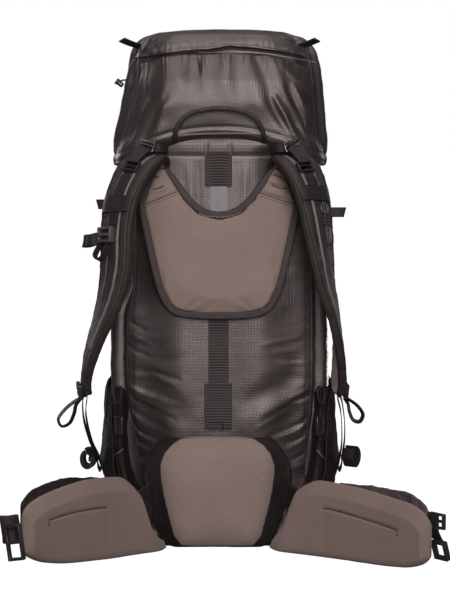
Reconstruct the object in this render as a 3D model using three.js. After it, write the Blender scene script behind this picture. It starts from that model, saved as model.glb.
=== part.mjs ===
// A tall trekking rucksack standing on its base, with its harness side towards the viewer.
// Millimetres, +Z up, +X to the viewer's right, -Y towards the viewer.
// Everything is drawn from the back panel, which lies in the plane y = 0 with the base at z = 0,
// and the finished pack is then moved so that the origin is the centre of its footprint.

import * as THREE from 'three';

const { lerp, smoothstep, degToRad } = THREE.MathUtils;

// Driving sizes
const FABRIC = 2; // coated nylon with its seam allowance and lining
const SEAT = 0.4; // gap between two pieces that lie against each other
const WEBBING = 1.8; // thickness of the flat straps
const CORD = 4; // elastic cord
const BELT_WIDTH = 38; // hip belt webbing
const STAY = { width: 26, thick: 3, low: 190, high: 586, x: -1.5 };
const SLEEVE = { width: 40, low: 544, high: 590 };
const SPINE = { width: 30, low: 178, high: 400 };
const SPINE_POCKET = { width: 41, low: 180, high: 249, thick: 2.6 };
const YOKE = { thick: 14, binding: 9, bindingThick: 8, round: 5 };
const YOKE_WING = { from: 545, top: 570, inset: 0.35 }; // the binding is drawn in less on the narrow wings
const YOKE_BACK = -(3 * SEAT + STAY.thick + WEBBING); // the yoke lies over the stay and its webbing
const LUMBAR = { centre: -3, foot: 8, wall: 38, rim: 6, crown: 18 };
const STRAP_THICK = 14;
const FIN_THICK = 26;
const HIP_POCKET_THICK = 16;

// The bag's levels: half its width, where its back and front lie, and its corner radii.
const BAG_LEVELS = [
  { z: 0, half: 124, back: 12, front: 204, backCorner: 42, frontCorner: 70 },
  { z: 8, half: 140, back: 3, front: 222, backCorner: 42, frontCorner: 76 },
  { z: 30, half: 150, back: 0, front: 236, backCorner: 40, frontCorner: 80 },
  { z: 95, half: 158, back: 0, front: 252, backCorner: 38, frontCorner: 84 },
  { z: 180, half: 163, back: 0, front: 264, backCorner: 36, frontCorner: 86 },
  { z: 285, half: 166, back: 0, front: 272, backCorner: 36, frontCorner: 88 },
  { z: 400, half: 165, back: 0, front: 272, backCorner: 36, frontCorner: 88 },
  { z: 500, half: 160, back: 0, front: 264, backCorner: 38, frontCorner: 86 },
  { z: 580, half: 155, back: 0, front: 252, backCorner: 42, frontCorner: 84 },
  { z: 612, half: 153, back: 1, front: 246, backCorner: 46, frontCorner: 82 },
  { z: 640, half: 143, back: 10, front: 236, backCorner: 50, frontCorner: 76 },
  { z: 668, half: 126, back: 26, front: 218, backCorner: 50, frontCorner: 68 },
  { z: 692, half: 108, back: 44, front: 200, backCorner: 46, frontCorner: 60 },
];
const BAG_RINGS = [0, 8, 30, 80, 140, 172, 186, 200, 214, 228, 242, 258, 285, 340, 410, 480, 550, 592, 608,
  640, 668, 692];

// The lid's levels from its rim to its top, and how far the rim hangs below the first one.
const LID_LEVELS = [
  { z: 621, half: 157.8, back: -13, front: 256, backCorner: 52, frontCorner: 84 },
  { z: 642, half: 158, back: -19, front: 262, backCorner: 54, frontCorner: 86 },
  { z: 668, half: 155, back: -22, front: 266, backCorner: 56, frontCorner: 88 },
  { z: 700, half: 152, back: -19, front: 266, backCorner: 58, frontCorner: 88 },
  { z: 730, half: 149, back: -9, front: 262, backCorner: 60, frontCorner: 88 },
  { z: 748, half: 146, back: 1, front: 256, backCorner: 60, frontCorner: 88 },
  { z: 762, half: 140, back: 14, front: 246, backCorner: 60, frontCorner: 86 },
  { z: 773, half: 128, back: 32, front: 228, backCorner: 58, frontCorner: 80 },
  { z: 781, half: 106, back: 60, front: 202, backCorner: 48, frontCorner: 64 },
  { z: 785.5, half: 70, back: 92, front: 168, backCorner: 34, frontCorner: 36 },
  { z: 787, half: 26, back: 120, front: 140, backCorner: 9, frontCorner: 9 },
];
const LID_RIM = { corner: 44, front: 36, half: 140, arch: 2.2, backEnd: 60, frontFrom: 120, frontTo: 250 };
const LID_RIM_FREE = 690; // above this the lid's levels lie flat
const ZIP_FLAP = { left: -118, right: 128, low: 741, high: 755, thick: 2.4, clear: 3, steps: 14 };

// Folds in the cloth: a line on the harness side from one point to another, how far it stands out
// and how wide it is. A negative height is a crease.
const BAG_FOLDS = [
  { x0: -128, z0: 252, x1: -56, z1: 200, height: -6, wide: 11 },
  { x0: -132, z0: 230, x1: -84, z1: 206, height: 5, wide: 9 },
  { x0: -124, z0: 206, x1: -92, z1: 184, height: -6, wide: 9 },
  { x0: 126, z0: 256, x1: 46, z1: 220, height: -6, wide: 11 },
  { x0: 130, z0: 234, x1: 72, z1: 208, height: 5, wide: 9 },
  { x0: 128, z0: 208, x1: 88, z1: 186, height: -6, wide: 9 },
  { x0: -96, z0: 608, x1: 96, z1: 608, height: 5, wide: 8 },
];
const LID_FOLDS = [
  { x0: -88, z0: 736, x1: -96, z1: 640, height: 4, wide: 12 },
  { x0: -44, z0: 738, x1: -38, z1: 690, height: -4, wide: 10 },
  { x0: 10, z0: 740, x1: 6, z1: 684, height: 4, wide: 11 },
  { x0: 58, z0: 738, x1: 92, z1: 650, height: -5, wide: 11 },
  { x0: 84, z0: 724, x1: 118, z1: 612, height: 5, wide: 12 },
  { x0: -64, z0: 690, x1: -116, z1: 604, height: 5, wide: 13 },
  { x0: -20, z0: 660, x1: 74, z1: 640, height: -4, wide: 12 },
];

// Side pockets: how far the pouch stands off the bag at each height.
const POCKET = { back: 26, front: 204, low: 72, highBack: 228, highFront: 248, clear: 0.96, fullness: 0.55 };
const POCKET_STEPS = { along: 11, up: 7 };
const POCKET_BULGE = [
  { part: 0, out: 0 },
  { part: 0.1, out: 17 },
  { part: 0.22, out: 26 },
  { part: 0.45, out: 20 },
  { part: 0.75, out: 13 },
  { part: 1, out: 9 },
];

// Shoulder straps from the yoke over the shoulder to the lower tip: the middle of the strap, its
// width, and how far its outer face is turned away from the viewer. "out" is the distance from the
// middle of the pack, and the two straps hang a little differently.
const STRAP_LEFT = [
  { out: 97, y: -12.6, z: 573, width: 52, turn: 0 },
  { out: 103, y: -27, z: 582, width: 56, turn: 8 },
  { out: 118, y: -45, z: 574, width: 64, turn: 26 },
  { out: 133, y: -60, z: 549, width: 68, turn: 40 },
  { out: 144, y: -71, z: 516, width: 70, turn: 47 },
  { out: 149, y: -78, z: 476, width: 70, turn: 50 },
  { out: 150, y: -82, z: 434, width: 70, turn: 51 },
  { out: 155, y: -81, z: 398, width: 68, turn: 55 },
  { out: 166, y: -76, z: 360, width: 64, turn: 62 },
  { out: 181, y: -68, z: 320, width: 58, turn: 70 },
  { out: 192, y: -58, z: 284, width: 52, turn: 76 },
  { out: 197, y: -48, z: 252, width: 46, turn: 80 },
  { out: 196, y: -44, z: 238, width: 38, turn: 80 },
];
const STRAP_RIGHT = [
  { out: 97, y: -12.6, z: 573, width: 52, turn: 0 },
  { out: 103, y: -27, z: 582, width: 56, turn: 8 },
  { out: 116, y: -45, z: 574, width: 64, turn: 26 },
  { out: 129, y: -60, z: 549, width: 68, turn: 40 },
  { out: 138, y: -71, z: 516, width: 70, turn: 49 },
  { out: 144, y: -78, z: 476, width: 70, turn: 56 },
  { out: 150, y: -82, z: 434, width: 70, turn: 65 },
  { out: 156, y: -81, z: 398, width: 68, turn: 71 },
  { out: 166, y: -76, z: 360, width: 64, turn: 78 },
  { out: 173, y: -68, z: 320, width: 58, turn: 87 },
  { out: 176, y: -58, z: 284, width: 52, turn: 98 },
  { out: 176, y: -48, z: 252, width: 46, turn: 104 },
  { out: 175, y: -44, z: 238, width: 38, turn: 104 },
];
const STRAP_STEPS = 18;

// Hip fins in plan from the lumbar pad to the tip, and the padding's lower and upper edge there.
const FIN_LEFT = [
  { out: 84, y: -19, low: 3, high: 18, thick: 0.55 },
  { out: 98, y: -40, low: 1, high: 42, thick: 0.9 },
  { out: 118, y: -56, low: 0.5, high: 90, thick: 1 },
  { out: 148, y: -82, low: 0.5, high: 119, thick: 1 },
  { out: 186, y: -122, low: 3, high: 122, thick: 1 },
  { out: 222, y: -166, low: 8, high: 117, thick: 0.95 },
  { out: 248, y: -203, low: 17, high: 110, thick: 0.85 },
  { out: 262, y: -226, low: 27, high: 102, thick: 0.65 },
  { out: 269, y: -238, low: 38, high: 93, thick: 0.35 },
];
const FIN_RIGHT = [
  { out: 79, y: -17.5, low: 3, high: 16, thick: 0.55 },
  { out: 94, y: -41, low: 1, high: 58, thick: 0.9 },
  { out: 116, y: -55, low: 0.5, high: 100, thick: 1 },
  { out: 150, y: -78, low: 0.5, high: 113, thick: 1 },
  { out: 192, y: -112, low: 1, high: 110, thick: 1 },
  { out: 234, y: -150, low: 2, high: 103, thick: 0.95 },
  { out: 266, y: -184, low: 6, high: 97, thick: 0.85 },
  { out: 284, y: -206, low: 14, high: 87, thick: 0.65 },
  { out: 293, y: -219, low: 26, high: 74, thick: 0.35 },
];
const FIN_STEPS = 13;
const HIP_POCKET = { from: 0.42, to: 0.86, rise: 11, lean: 1.2, endSwell: 0.3, steps: 10 };

// Haul loop: half of its centre line, from its foot on the back panel to the middle of the grip.
const HAUL_LOOP = [
  { out: 70, y: -5.8, z: 601 },
  { out: 69, y: -24, z: 606.5 },
  { out: 63, y: -33, z: 624 },
  { out: 42, y: -36, z: 642 },
  { out: 18, y: -36, z: 650 },
  { out: 0, y: -36, z: 652 },
];
const HAUL = { radius: 6, steps: 16, sides: 6 };

// Load lifters: the strap from the haul loop's foot, and the ladder lock that it ends in.
const LID_STRAP = [
  { out: 77, y: -8, z: 599 },
  { out: 86, y: -20, z: 600 },
  { out: 96, y: -24.5, z: 600.5 },
];
const ANCHOR = { out: 107, y: -27.5, z: 603 };
const ANCHOR_TURN = { slope: [0.35, -0.3, -0.9], wide: [0.95, 0.1, 0.3], face: [0.1, -1, 0.25] };
const LIFTER = { width: 20, lidWidth: 12, at: 0.2, lift: 0.5, sag: 2, steps: 6 };
const LIFTER_CLEAR = { overLock: 7.4, overAnchor: 6, pastAnchor: 3 };

// Sternum strap: where its pieces sit along and across the straps, and the fold beside its buckle.
const STERNUM = { at: 0.425, across: -0.3, seat: 0.7, foldAcross: -0.85, foldSeat: 5.7, foldWidth: 17 };
const STERNUM_RING = { at: 0.349, across: -0.3, seat: 2.1, radius: 7.4, wire: 1.8 };
const STERNUM_CLIP = { at: 0.43, across: -0.32, seat: 0.7 };
const STERNUM_FOLD = [
  { out: 1.1, y: -1, z: -4 },
  { out: 8, y: -3, z: -6 },
  { out: 16, y: -7, z: -7 },
  { out: 20, y: -2, z: -9 },
  { out: 12, y: 4, z: -9 },
  { out: 3.5, y: 6, z: -6 },
];

// Lower ends of the shoulder straps: the adjuster, the pull loop below it, drawn from where it leaves
// the adjuster, the doubled thin strap down to the side pocket, and its spare length in a roll.
const STRAP_END = { at: 0.965, seat: 0.5, hook: 13.4, hookOff: 3, loopWidth: 9 };
const LOWER_STRAP = { width: 10, thick: 1.4, across: [0, 0.77, 0.64] };
const LOOP_LEFT = [
  { out: 1, y: 0, z: 0 },
  { out: 7, y: 0, z: -9 },
  { out: 10, y: -1, z: -22 },
  { out: 17, y: -2, z: -36 },
  { out: 28, y: -3, z: -40 },
  { out: 33, y: -3, z: -30 },
  { out: 24, y: -1, z: -16 },
  { out: 8, y: 0, z: -3 },
];
const LOOP_RIGHT = [
  { out: 1, y: 0, z: 0 },
  { out: 6, y: 0, z: -9 },
  { out: 8, y: -1, z: -20 },
  { out: 14, y: -2, z: -33 },
  { out: 23, y: -3, z: -35 },
  { out: 28, y: -3, z: -25 },
  { out: 21, y: -1, z: -13 },
  { out: 8, y: 0, z: -3 },
];
const LOWER_LEFT = [
  { out: 196.6, y: -42, z: 235.8 },
  { out: 199, y: -30, z: 208 },
  { out: 193, y: 6, z: 160 },
  { out: 184, y: 50, z: 126 },
  { out: 182.4, y: 61, z: 112.5 },
  { out: 184.6, y: 64.5, z: 108.8 },
  { out: 187, y: 62, z: 113 },
  { out: 188.5, y: 48, z: 132 },
  { out: 197, y: 4, z: 166 },
  { out: 203, y: -30, z: 206 },
  { out: 200.8, y: -41, z: 234.4 },
];
const LOWER_RIGHT = [
  { out: 175, y: -42, z: 235.8 },
  { out: 180.6, y: -30, z: 208 },
  { out: 184.5, y: 6, z: 160 },
  { out: 183.4, y: 50, z: 126 },
  { out: 182.4, y: 61, z: 112.5 },
  { out: 184.6, y: 64.5, z: 108.8 },
  { out: 187, y: 62, z: 113 },
  { out: 188, y: 48, z: 132 },
  { out: 188.7, y: 4, z: 166 },
  { out: 185, y: -30, z: 206 },
  { out: 178.4, y: -41, z: 234.4 },
];
const ROLL = { wide: 25, tall: 34, hole: 4, deep: 20 };
const ROLL_LEFT = { out: 202.7, y: 62, z: 126, turn: 0.5 };
const ROLL_RIGHT = { out: 203.3, y: 66, z: 128, turn: 1.1 };

// On the corners above the side pockets: the compression strap's buckle and a cord loop, by how far
// round the corner they sit.
const SIDE_BUCKLE = { turn: 0.7, z: 183, seat: 0.4 };
const SIDE_CORD = [
  { turn: 0.5, z: 238 },
  { turn: 0.72, z: 243 },
  { turn: 0.86, z: 236 },
  { turn: 0.88, z: 222 },
  { turn: 0.76, z: 213 },
  { turn: 0.6, z: 220 },
];

// Folded tabs on the sides of the bag, and flat ones at the upper corners of the lid.
const SIDE_TAB = { width: 15, clear: 4.2, lean: 0.25 };
const SIDE_TAB_FOLD = [
  { reach: 0, y: -4 },
  { reach: 0.55, y: -5 },
  { reach: 1, y: -2 },
  { reach: 1, y: 2 },
  { reach: 0.55, y: 3 },
  { reach: 0, y: 3 },
];
const TAB_LEFT = { y: 50, z: 517, reach: 24 };
const TAB_RIGHT = { y: 50, z: 505, reach: 28 };
const LID_TAB = [
  { out: 125, y: 25, z: 758 },
  { out: 136, y: 26, z: 759.5 },
  { out: 147, y: 27, z: 764 },
];
const LID_TAB_SIZE = { width: 12, thick: 2.4 };
const LID_LOCK = { x: -154.2, y: 42, z: 696, axis: [0.6, 0, 0.8] };
const LID_LOCK_PROFILE = [
  { radius: 0, up: 0 },
  { radius: 3, up: 0 },
  { radius: 4, up: 1.5 },
  { radius: 4, up: 9 },
  { radius: 5, up: 10 },
  { radius: 5, up: 13 },
  { radius: 0, up: 13 },
];

// Hip belt ends. On the left the webbing is folded on itself beside the tip, with its buckle in
// front. On the right it hangs down from a slide to the other half of the buckle.
const BELT_LEFT = { at: 0.95, clear: 2.8, z: 69, lean: -0.15 };
const BELT_FOLD = [
  { out: 0, y: 0 },
  { out: 6, y: -8 },
  { out: 14, y: -12 },
  { out: 23, y: -10 },
  { out: 24, y: -4 },
  { out: 14, y: -3 },
  { out: 4, y: 6 },
];
const BELT_BUCKLE_LEFT = { x: -279, y: -246.4, z: 54, wide: [0.95, -0.3, 0.15], face: [-0.3, -0.95, 0] };
const BELT_RIGHT = { at: 0.97, clear: 2.2, width: 22 };
const BELT_SLIDE = { off: 1.6, z: 77, forward: 3 };
const BELT_BUCKLE_RIGHT = { off: 7, z: 34, forward: 3, lean: 0.3 };
const BELT_HANG = [
  { off: 0, z: 88 },
  { off: 0, z: 76 },
  { off: 0, z: 64 },
  { off: 4, z: 56 },
  { off: 8, z: 50 },
];

// Buckles: width across the strap, height along it, the bars of the frame, its slots and its depth.
const BUCKLES = {
  anchor: { width: 24, height: 15, bar: 2.8, slots: 2, deep: 4 },
  lifter: { width: 27, height: 18, bar: 3.2, slots: 2, deep: 5 },
  sternum: { width: 32, height: 23, bar: 4, slots: 2, deep: 9 },
  clip: { width: 11, height: 24, bar: 2.6, slots: 1, deep: 4 },
  adjuster: { width: 24, height: 22, bar: 3.4, slots: 2, deep: 6 },
  side: { width: 15, height: 28, bar: 3, slots: 1, deep: 4 },
  beltLeft: { width: 24, height: 50, bar: 4, slots: 2, deep: 8 },
  beltRight: { width: 28, height: 28, bar: 4.5, slots: 1, deep: 8 },
  slide: { width: 30, height: 22, bar: 3.4, slots: 2, deep: 6 },
};

const LEFT = {
  word: 'left',
  side: -1,
  strap: STRAP_LEFT,
  fin: FIN_LEFT,
  loop: LOOP_LEFT,
  lower: LOWER_LEFT,
  roll: ROLL_LEFT,
  tab: TAB_LEFT,
};
const RIGHT = {
  word: 'right',
  side: 1,
  strap: STRAP_RIGHT,
  fin: FIN_RIGHT,
  loop: LOOP_RIGHT,
  lower: LOWER_RIGHT,
  roll: ROLL_RIGHT,
  tab: TAB_RIGHT,
};
const SIDES = [LEFT, RIGHT];

// What is sewn flat on the straps' outer faces: its ends along the strap, its outer and inner edge,
// how wide it still is at its lower end, and how high it lies.
const STRAP_TRIM = [
  { name: 'strap_webbing_left', on: LEFT, from: 0.235, to: 0.4, outer: -0.3, inner: 0.3, taper: 1, low: 0.8 },
  { name: 'strap_webbing_right', on: RIGHT, from: 0.24, to: 0.315, outer: -0.3, inner: 0.3, taper: 1, low: 1 },
  { name: 'strap_band_left', on: LEFT, from: 0.31, to: 0.36, outer: -0.97, inner: 0.9, taper: 1, low: 3 },
  { name: 'strap_band_right', on: RIGHT, from: 0.275, to: 0.325, outer: -0.97, inner: 0.9, taper: 1, low: 3 },
  { name: 'sternum_tail', on: RIGHT, from: 0.374, to: 0.397, outer: -0.5, inner: -0.1, taper: 0.6, low: 0.8 },
];

const UP = new THREE.Vector3(0, 0, 1);
const LOOP_STEPS = 14;
const SMALL_STEPS = 16;

// Materials
const FABRIC_GREY = cloth(0x4a4344, 0.55);
const FABRIC_BLACK = cloth(0x262323, 0.7);
const PAD_TAUPE = cloth(0x83736b, 0.95);
const WEBBING_BLACK = cloth(0x232021, 0.85);
const PLASTIC_BLACK = cloth(0x1a1819, 0.35);
const ALUMINIUM = new THREE.MeshStandardMaterial({ color: 0xb4b2b3, roughness: 0.4, metalness: 0.9 });

function cloth(color, roughness) {
  return new THREE.MeshStandardMaterial({ color, roughness, metalness: 0 });
}

const pack = new THREE.Group();

function vector(x, y, z) {
  return new THREE.Vector3(x, y, z);
}

// A direction given for the right side, on either side.
function turned(side, [x, y, z]) {
  return vector(side * x, y, z).normalize();
}

// A table of points given by their distance from the middle of the pack, on either side.
function mirrored(rows, side) {
  return rows.map(({ out, y, z }) => [side * out, y, z]);
}

function add(name, geometry, material) {
  const mesh = new THREE.Mesh(geometry, material);
  mesh.name = name;
  pack.add(mesh);
  return mesh;
}

// The smooth value of one column of a table, at a place along its key column. It never overshoots.
function along(rows, key, column, at) {
  const last = rows.length - 1;
  if (at <= rows[0][key]) return rows[0][column];
  if (at >= rows[last][key]) return rows[last][column];
  const secant = (i) => (rows[i + 1][column] - rows[i][column]) / (rows[i + 1][key] - rows[i][key]);
  const slope = (i) => {
    if (i === 0) return secant(0);
    if (i === last) return secant(last - 1);
    const before = secant(i - 1);
    const after = secant(i);
    return before * after <= 0 ? 0 : (2 * before * after) / (before + after);
  };
  let i = 0;
  while (rows[i + 1][key] < at) i += 1;
  const span = rows[i + 1][key] - rows[i][key];
  const t = (at - rows[i][key]) / span;
  const rise = t * t * (3 - 2 * t);
  const start = t * (1 - t) * (1 - t) * span * slope(i);
  const end = t * t * (t - 1) * span * slope(i + 1);
  return rows[i][column] * (1 - rise) + rows[i + 1][column] * rise + start + end;
}

// A whole row of a table at a place between its rows.
function rowAt(rows, key, at) {
  const row = {};
  for (const column of Object.keys(rows[0])) row[column] = along(rows, key, column, at);
  return row;
}

// A closed body from points and triangles, turned so that its faces point outwards.
function body(points, triangles) {
  let volume = 0;
  for (const [a, b, c] of triangles) {
    volume += points[a].dot(new THREE.Vector3().crossVectors(points[b], points[c]));
  }
  const faces = volume < 0 ? triangles.map(([a, b, c]) => [a, c, b]) : triangles;
  const geometry = new THREE.BufferGeometry().setFromPoints(points);
  geometry.setIndex(faces.flat());
  geometry.computeVertexNormals();
  return geometry;
}

// Skin over rings of equal length, one after another, with a fan over the first and last ring,
// or with the last ring joined to the first.
function loft(rings, joined = false) {
  const count = rings[0].length;
  const points = rings.flat();
  const triangles = [];
  const strips = joined ? rings.length : rings.length - 1;
  for (let i = 0; i < strips; i += 1) {
    const low = i * count;
    const high = ((i + 1) % rings.length) * count;
    for (let j = 0; j < count; j += 1) {
      const next = (j + 1) % count;
      triangles.push([low + j, low + next, high + next], [low + j, high + next, high + j]);
    }
  }
  const fan = (first, turned) => {
    const middle = new THREE.Vector3();
    for (let j = 0; j < count; j += 1) middle.addScaledVector(points[first + j], 1 / count);
    const centre = points.push(middle) - 1;
    for (let j = 0; j < count; j += 1) {
      const next = (j + 1) % count;
      triangles.push(turned ? [centre, first + next, first + j] : [centre, first + j, first + next]);
    }
  };
  if (!joined) {
    fan(0, true);
    fan((rings.length - 1) * count, false);
  }
  return body(points, triangles);
}

// A thin sheet: place(u, v, side) gives its two faces, with u and v from 0 to 1 and side 0 or 1.
function sheet(place, uSteps, vSteps) {
  const rings = [];
  for (let i = 0; i <= uSteps; i += 1) {
    const ring = [];
    for (let j = 0; j <= vSteps; j += 1) ring.push(place(i / uSteps, j / vSteps, 0));
    for (let j = vSteps; j >= 0; j -= 1) ring.push(place(i / uSteps, j / vSteps, 1));
    rings.push(ring);
  }
  return loft(rings);
}

// A flat outline in x and z, given its depth towards the viewer from a plane y = back.
function plate(shape, back, thick) {
  const geometry = new THREE.ExtrudeGeometry(shape, { depth: thick, bevelEnabled: false });
  geometry.rotateX(Math.PI / 2);
  return geometry.translate(0, back, 0);
}

function rectangle(x0, x1, y0, y1) {
  const corners = [[x0, y0], [x1, y0], [x1, y1], [x0, y1]];
  return new THREE.Shape(corners.map(([x, y]) => new THREE.Vector2(x, y)));
}

// A strip along a path: "across" is the direction of its width, or gives it at each place.
function strip(path, across, width, steps, thick = WEBBING, joined = false) {
  const rings = [];
  const count = joined ? steps : steps + 1;
  for (let i = 0; i < count; i += 1) {
    const at = i / steps;
    const centre = path.getPoint(at);
    const forward = path.getTangent(at);
    const wide = (typeof across === 'function' ? across(at) : across).clone();
    wide.addScaledVector(forward, -wide.dot(forward)).normalize();
    const face = new THREE.Vector3().crossVectors(wide, forward).normalize();
    rings.push([[-1, -1], [1, -1], [1, 1], [-1, 1]].map(([u, v]) => centre.clone()
      .addScaledVector(wide, u * width / 2)
      .addScaledVector(face, v * thick / 2)));
  }
  return loft(rings, joined);
}

function curve(points, closed = false) {
  return new THREE.CatmullRomCurve3(points.map(([x, y, z]) => vector(x, y, z)), closed, 'centripetal');
}

// A round cord along a path.
function cord(path, diameter, steps, sides = 8) {
  const section = new THREE.Shape();
  for (let i = 0; i < sides; i += 1) {
    const angle = (2 * Math.PI * i) / sides;
    const x = (diameter / 2) * Math.cos(angle);
    const y = (diameter / 2) * Math.sin(angle);
    if (i === 0) section.moveTo(x, y);
    else section.lineTo(x, y);
  }
  return new THREE.ExtrudeGeometry(section, { steps, extrudePath: path, bevelEnabled: false });
}

// A round cord laid in a closed ring.
function cordRing(path, diameter, steps, sides = 5) {
  const { normals, binormals } = path.computeFrenetFrames(steps, true);
  const rings = [];
  for (let i = 0; i < steps; i += 1) {
    const ring = [];
    for (let j = 0; j < sides; j += 1) {
      const angle = (2 * Math.PI * j) / sides;
      ring.push(path.getPointAt(i / steps)
        .addScaledVector(normals[i], (diameter / 2) * Math.cos(angle))
        .addScaledVector(binormals[i], (diameter / 2) * Math.sin(angle)));
    }
    rings.push(ring);
  }
  return loft(rings, true);
}

// A buckle frame with slots, drawn flat.
function buckleShape({ width, height, bar, slots }) {
  const frame = rectangle(-width / 2, width / 2, -height / 2, height / 2);
  const slot = (height - bar * (slots + 1)) / slots;
  for (let i = 0; i < slots; i += 1) {
    const low = -height / 2 + bar + i * (slot + bar);
    const hole = rectangle(-width / 2 + bar, width / 2 - bar, low, low + slot);
    frame.holes.push(new THREE.Path(hole.getPoints()));
  }
  return frame;
}

// Sets a flat drawn piece in place: its width, its length and its face as directions.
function setPiece(mesh, centre, wide, face) {
  const z = face.clone().normalize();
  const x = wide.clone().addScaledVector(z, -wide.dot(z)).normalize();
  const y = new THREE.Vector3().crossVectors(z, x);
  mesh.quaternion.setFromRotationMatrix(new THREE.Matrix4().makeBasis(x, y, z));
  mesh.position.copy(centre);
  return mesh;
}

function buckle(name, kind, centre, wide, face) {
  const geometry = new THREE.ExtrudeGeometry(buckleShape(kind), { depth: kind.deep, bevelEnabled: false });
  return setPiece(add(name, geometry, PLASTIC_BLACK), centre, wide, face);
}

// One level of the bag or the lid as a ring of points, starting at the left end of its back.
const RING_STEPS = { back: 16, backCorner: 3, side: 3, frontCorner: 3, front: 4 };

function levelRing(level, inset, heightAt, foldAt) {
  const half = level.half - inset;
  const back = level.back + inset;
  const front = level.front - inset;
  const backRound = level.backCorner - inset;
  const frontRound = level.frontCorner - inset;
  const flat = [];
  const line = (x0, y0, x1, y1, steps) => {
    for (let i = 0; i < steps; i += 1) flat.push([lerp(x0, x1, i / steps), lerp(y0, y1, i / steps)]);
  };
  const arc = (x, y, radius, from, steps) => {
    for (let i = 0; i < steps; i += 1) {
      const angle = degToRad(from + 90 * i / steps);
      flat.push([x + radius * Math.cos(angle), y + radius * Math.sin(angle)]);
    }
  };
  line(backRound - half, back, half - backRound, back, RING_STEPS.back);
  arc(half - backRound, back + backRound, backRound, -90, RING_STEPS.backCorner);
  line(half, back + backRound, half, front - frontRound, RING_STEPS.side);
  arc(half - frontRound, front - frontRound, frontRound, 0, RING_STEPS.frontCorner);
  line(half - frontRound, front, frontRound - half, front, RING_STEPS.front);
  arc(frontRound - half, front - frontRound, frontRound, 90, RING_STEPS.frontCorner);
  line(-half, front - frontRound, -half, back + backRound, RING_STEPS.side);
  arc(backRound - half, back + backRound, backRound, 180, RING_STEPS.backCorner);
  return flat.map(([x, y], i) => {
    const z = heightAt(x, y);
    const fold = i > 0 && i < RING_STEPS.back ? foldAt(x, z) : 0;
    return new THREE.Vector3(x, y - fold, z);
  });
}

// How far the cloth stands out at a point of the harness side.
function foldHeight(folds, x, z) {
  let height = 0;
  for (const fold of folds) {
    const line = new THREE.Line3(vector(fold.x0, 0, fold.z0), vector(fold.x1, 0, fold.z1));
    const nearest = line.closestPointToPoint(vector(x, 0, z), true, new THREE.Vector3());
    const away = Math.hypot(nearest.x - x, nearest.z - z) / fold.wide;
    height += fold.height * Math.exp(-away * away);
  }
  return height;
}

// The bag: outer wall up to the mouth, over its edge, and down the inner wall to the floor.
function makeBag() {
  const fold = (x, z) => foldHeight(BAG_FOLDS, x, z);
  const ring = (z, inset, lift) => levelRing(rowAt(BAG_LEVELS, 'z', z), inset, () => z + lift, fold);
  const outer = BAG_RINGS.map((z) => ring(z, 0, 0));
  const inner = BAG_RINGS.map((z, i) => ring(z, FABRIC, i === 0 ? FABRIC : 0)).reverse();
  add('main_bag', loft([...outer, ...inner]), FABRIC_GREY);
}

// How far the rim of the lid hangs down at a point of it: least in the middle of the back.
function rimDrop(x, y) {
  const sideways = Math.min(Math.abs(x) / LID_RIM.half, 1);
  const atBack = LID_RIM.corner * sideways ** LID_RIM.arch;
  const atSide = lerp(LID_RIM.corner, LID_RIM.front, smoothstep(y, LID_RIM.frontFrom, LID_RIM.frontTo));
  return lerp(atBack, atSide, smoothstep(y, 0, LID_RIM.backEnd));
}

function lidHeight(z, x, y) {
  const free = (LID_RIM_FREE - z) / (LID_RIM_FREE - LID_LEVELS[0].z);
  return z - rimDrop(x, y) * Math.max(free, 0);
}

// The lid: a cap over the mouth, open below.
function makeLid() {
  const fold = (x, z) => foldHeight(LID_FOLDS, x, z);
  const ring = (level, inset, lift) => {
    const height = (x, y) => lidHeight(level.z, x, y) + lift;
    return levelRing(level, inset, height, fold);
  };
  const outer = LID_LEVELS.map((level) => ring(level, 0, 0));
  const flatFrom = LID_LEVELS.length - 3;
  const inner = LID_LEVELS.map((level, i) => ring(level, FABRIC, i >= flatFrom ? -FABRIC : 0));
  add('lid', loft([...outer.reverse(), ...inner]), FABRIC_GREY);
}

// The flap over the lid's zip: a strip along the upper back edge of the lid.
function makeZipFlap() {
  const place = (u, v, side) => {
    const z = lerp(ZIP_FLAP.low, ZIP_FLAP.high, v);
    const level = rowAt(LID_LEVELS, 'z', z);
    const x = lerp(ZIP_FLAP.left, ZIP_FLAP.right, u);
    const round = Math.max(Math.abs(x) - level.half + level.backCorner, 0);
    const y = level.back + level.backCorner - Math.sqrt(level.backCorner ** 2 - round ** 2);
    return vector(x, y - ZIP_FLAP.clear - side * ZIP_FLAP.thick, z);
  };
  add('lid_zip_flap', sheet(place, ZIP_FLAP.steps, 1), FABRIC_GREY);
}

// Where the side wall of the bag lies at a depth y and height z, on the right.
function bagSide(y, z) {
  const level = rowAt(BAG_LEVELS, 'z', z);
  const intoBack = Math.max(level.back + level.backCorner - y, 0);
  const intoFront = Math.max(y - (level.front - level.frontCorner), 0);
  const backLoss = level.backCorner - Math.sqrt(Math.max(level.backCorner ** 2 - intoBack ** 2, 0));
  const frontLoss = level.frontCorner - Math.sqrt(Math.max(level.frontCorner ** 2 - intoFront ** 2, 0));
  return level.half - backLoss - frontLoss;
}

function makeSidePocket({ word, side }) {
  const place = (u, v, face) => {
    const y = lerp(POCKET.back, POCKET.front, u);
    const z = lerp(POCKET.low, lerp(POCKET.highBack, POCKET.highFront, u), v);
    const pouch = along(POCKET_BULGE, 'part', 'out', v) * Math.sin(Math.PI * u) ** POCKET.fullness;
    const x = bagSide(y, z) + POCKET.clear + pouch + face * FABRIC;
    return vector(side * x, y, z);
  };
  add(`side_pocket_${word}`, sheet(place, POCKET_STEPS.along, POCKET_STEPS.up), FABRIC_BLACK);
}

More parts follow.
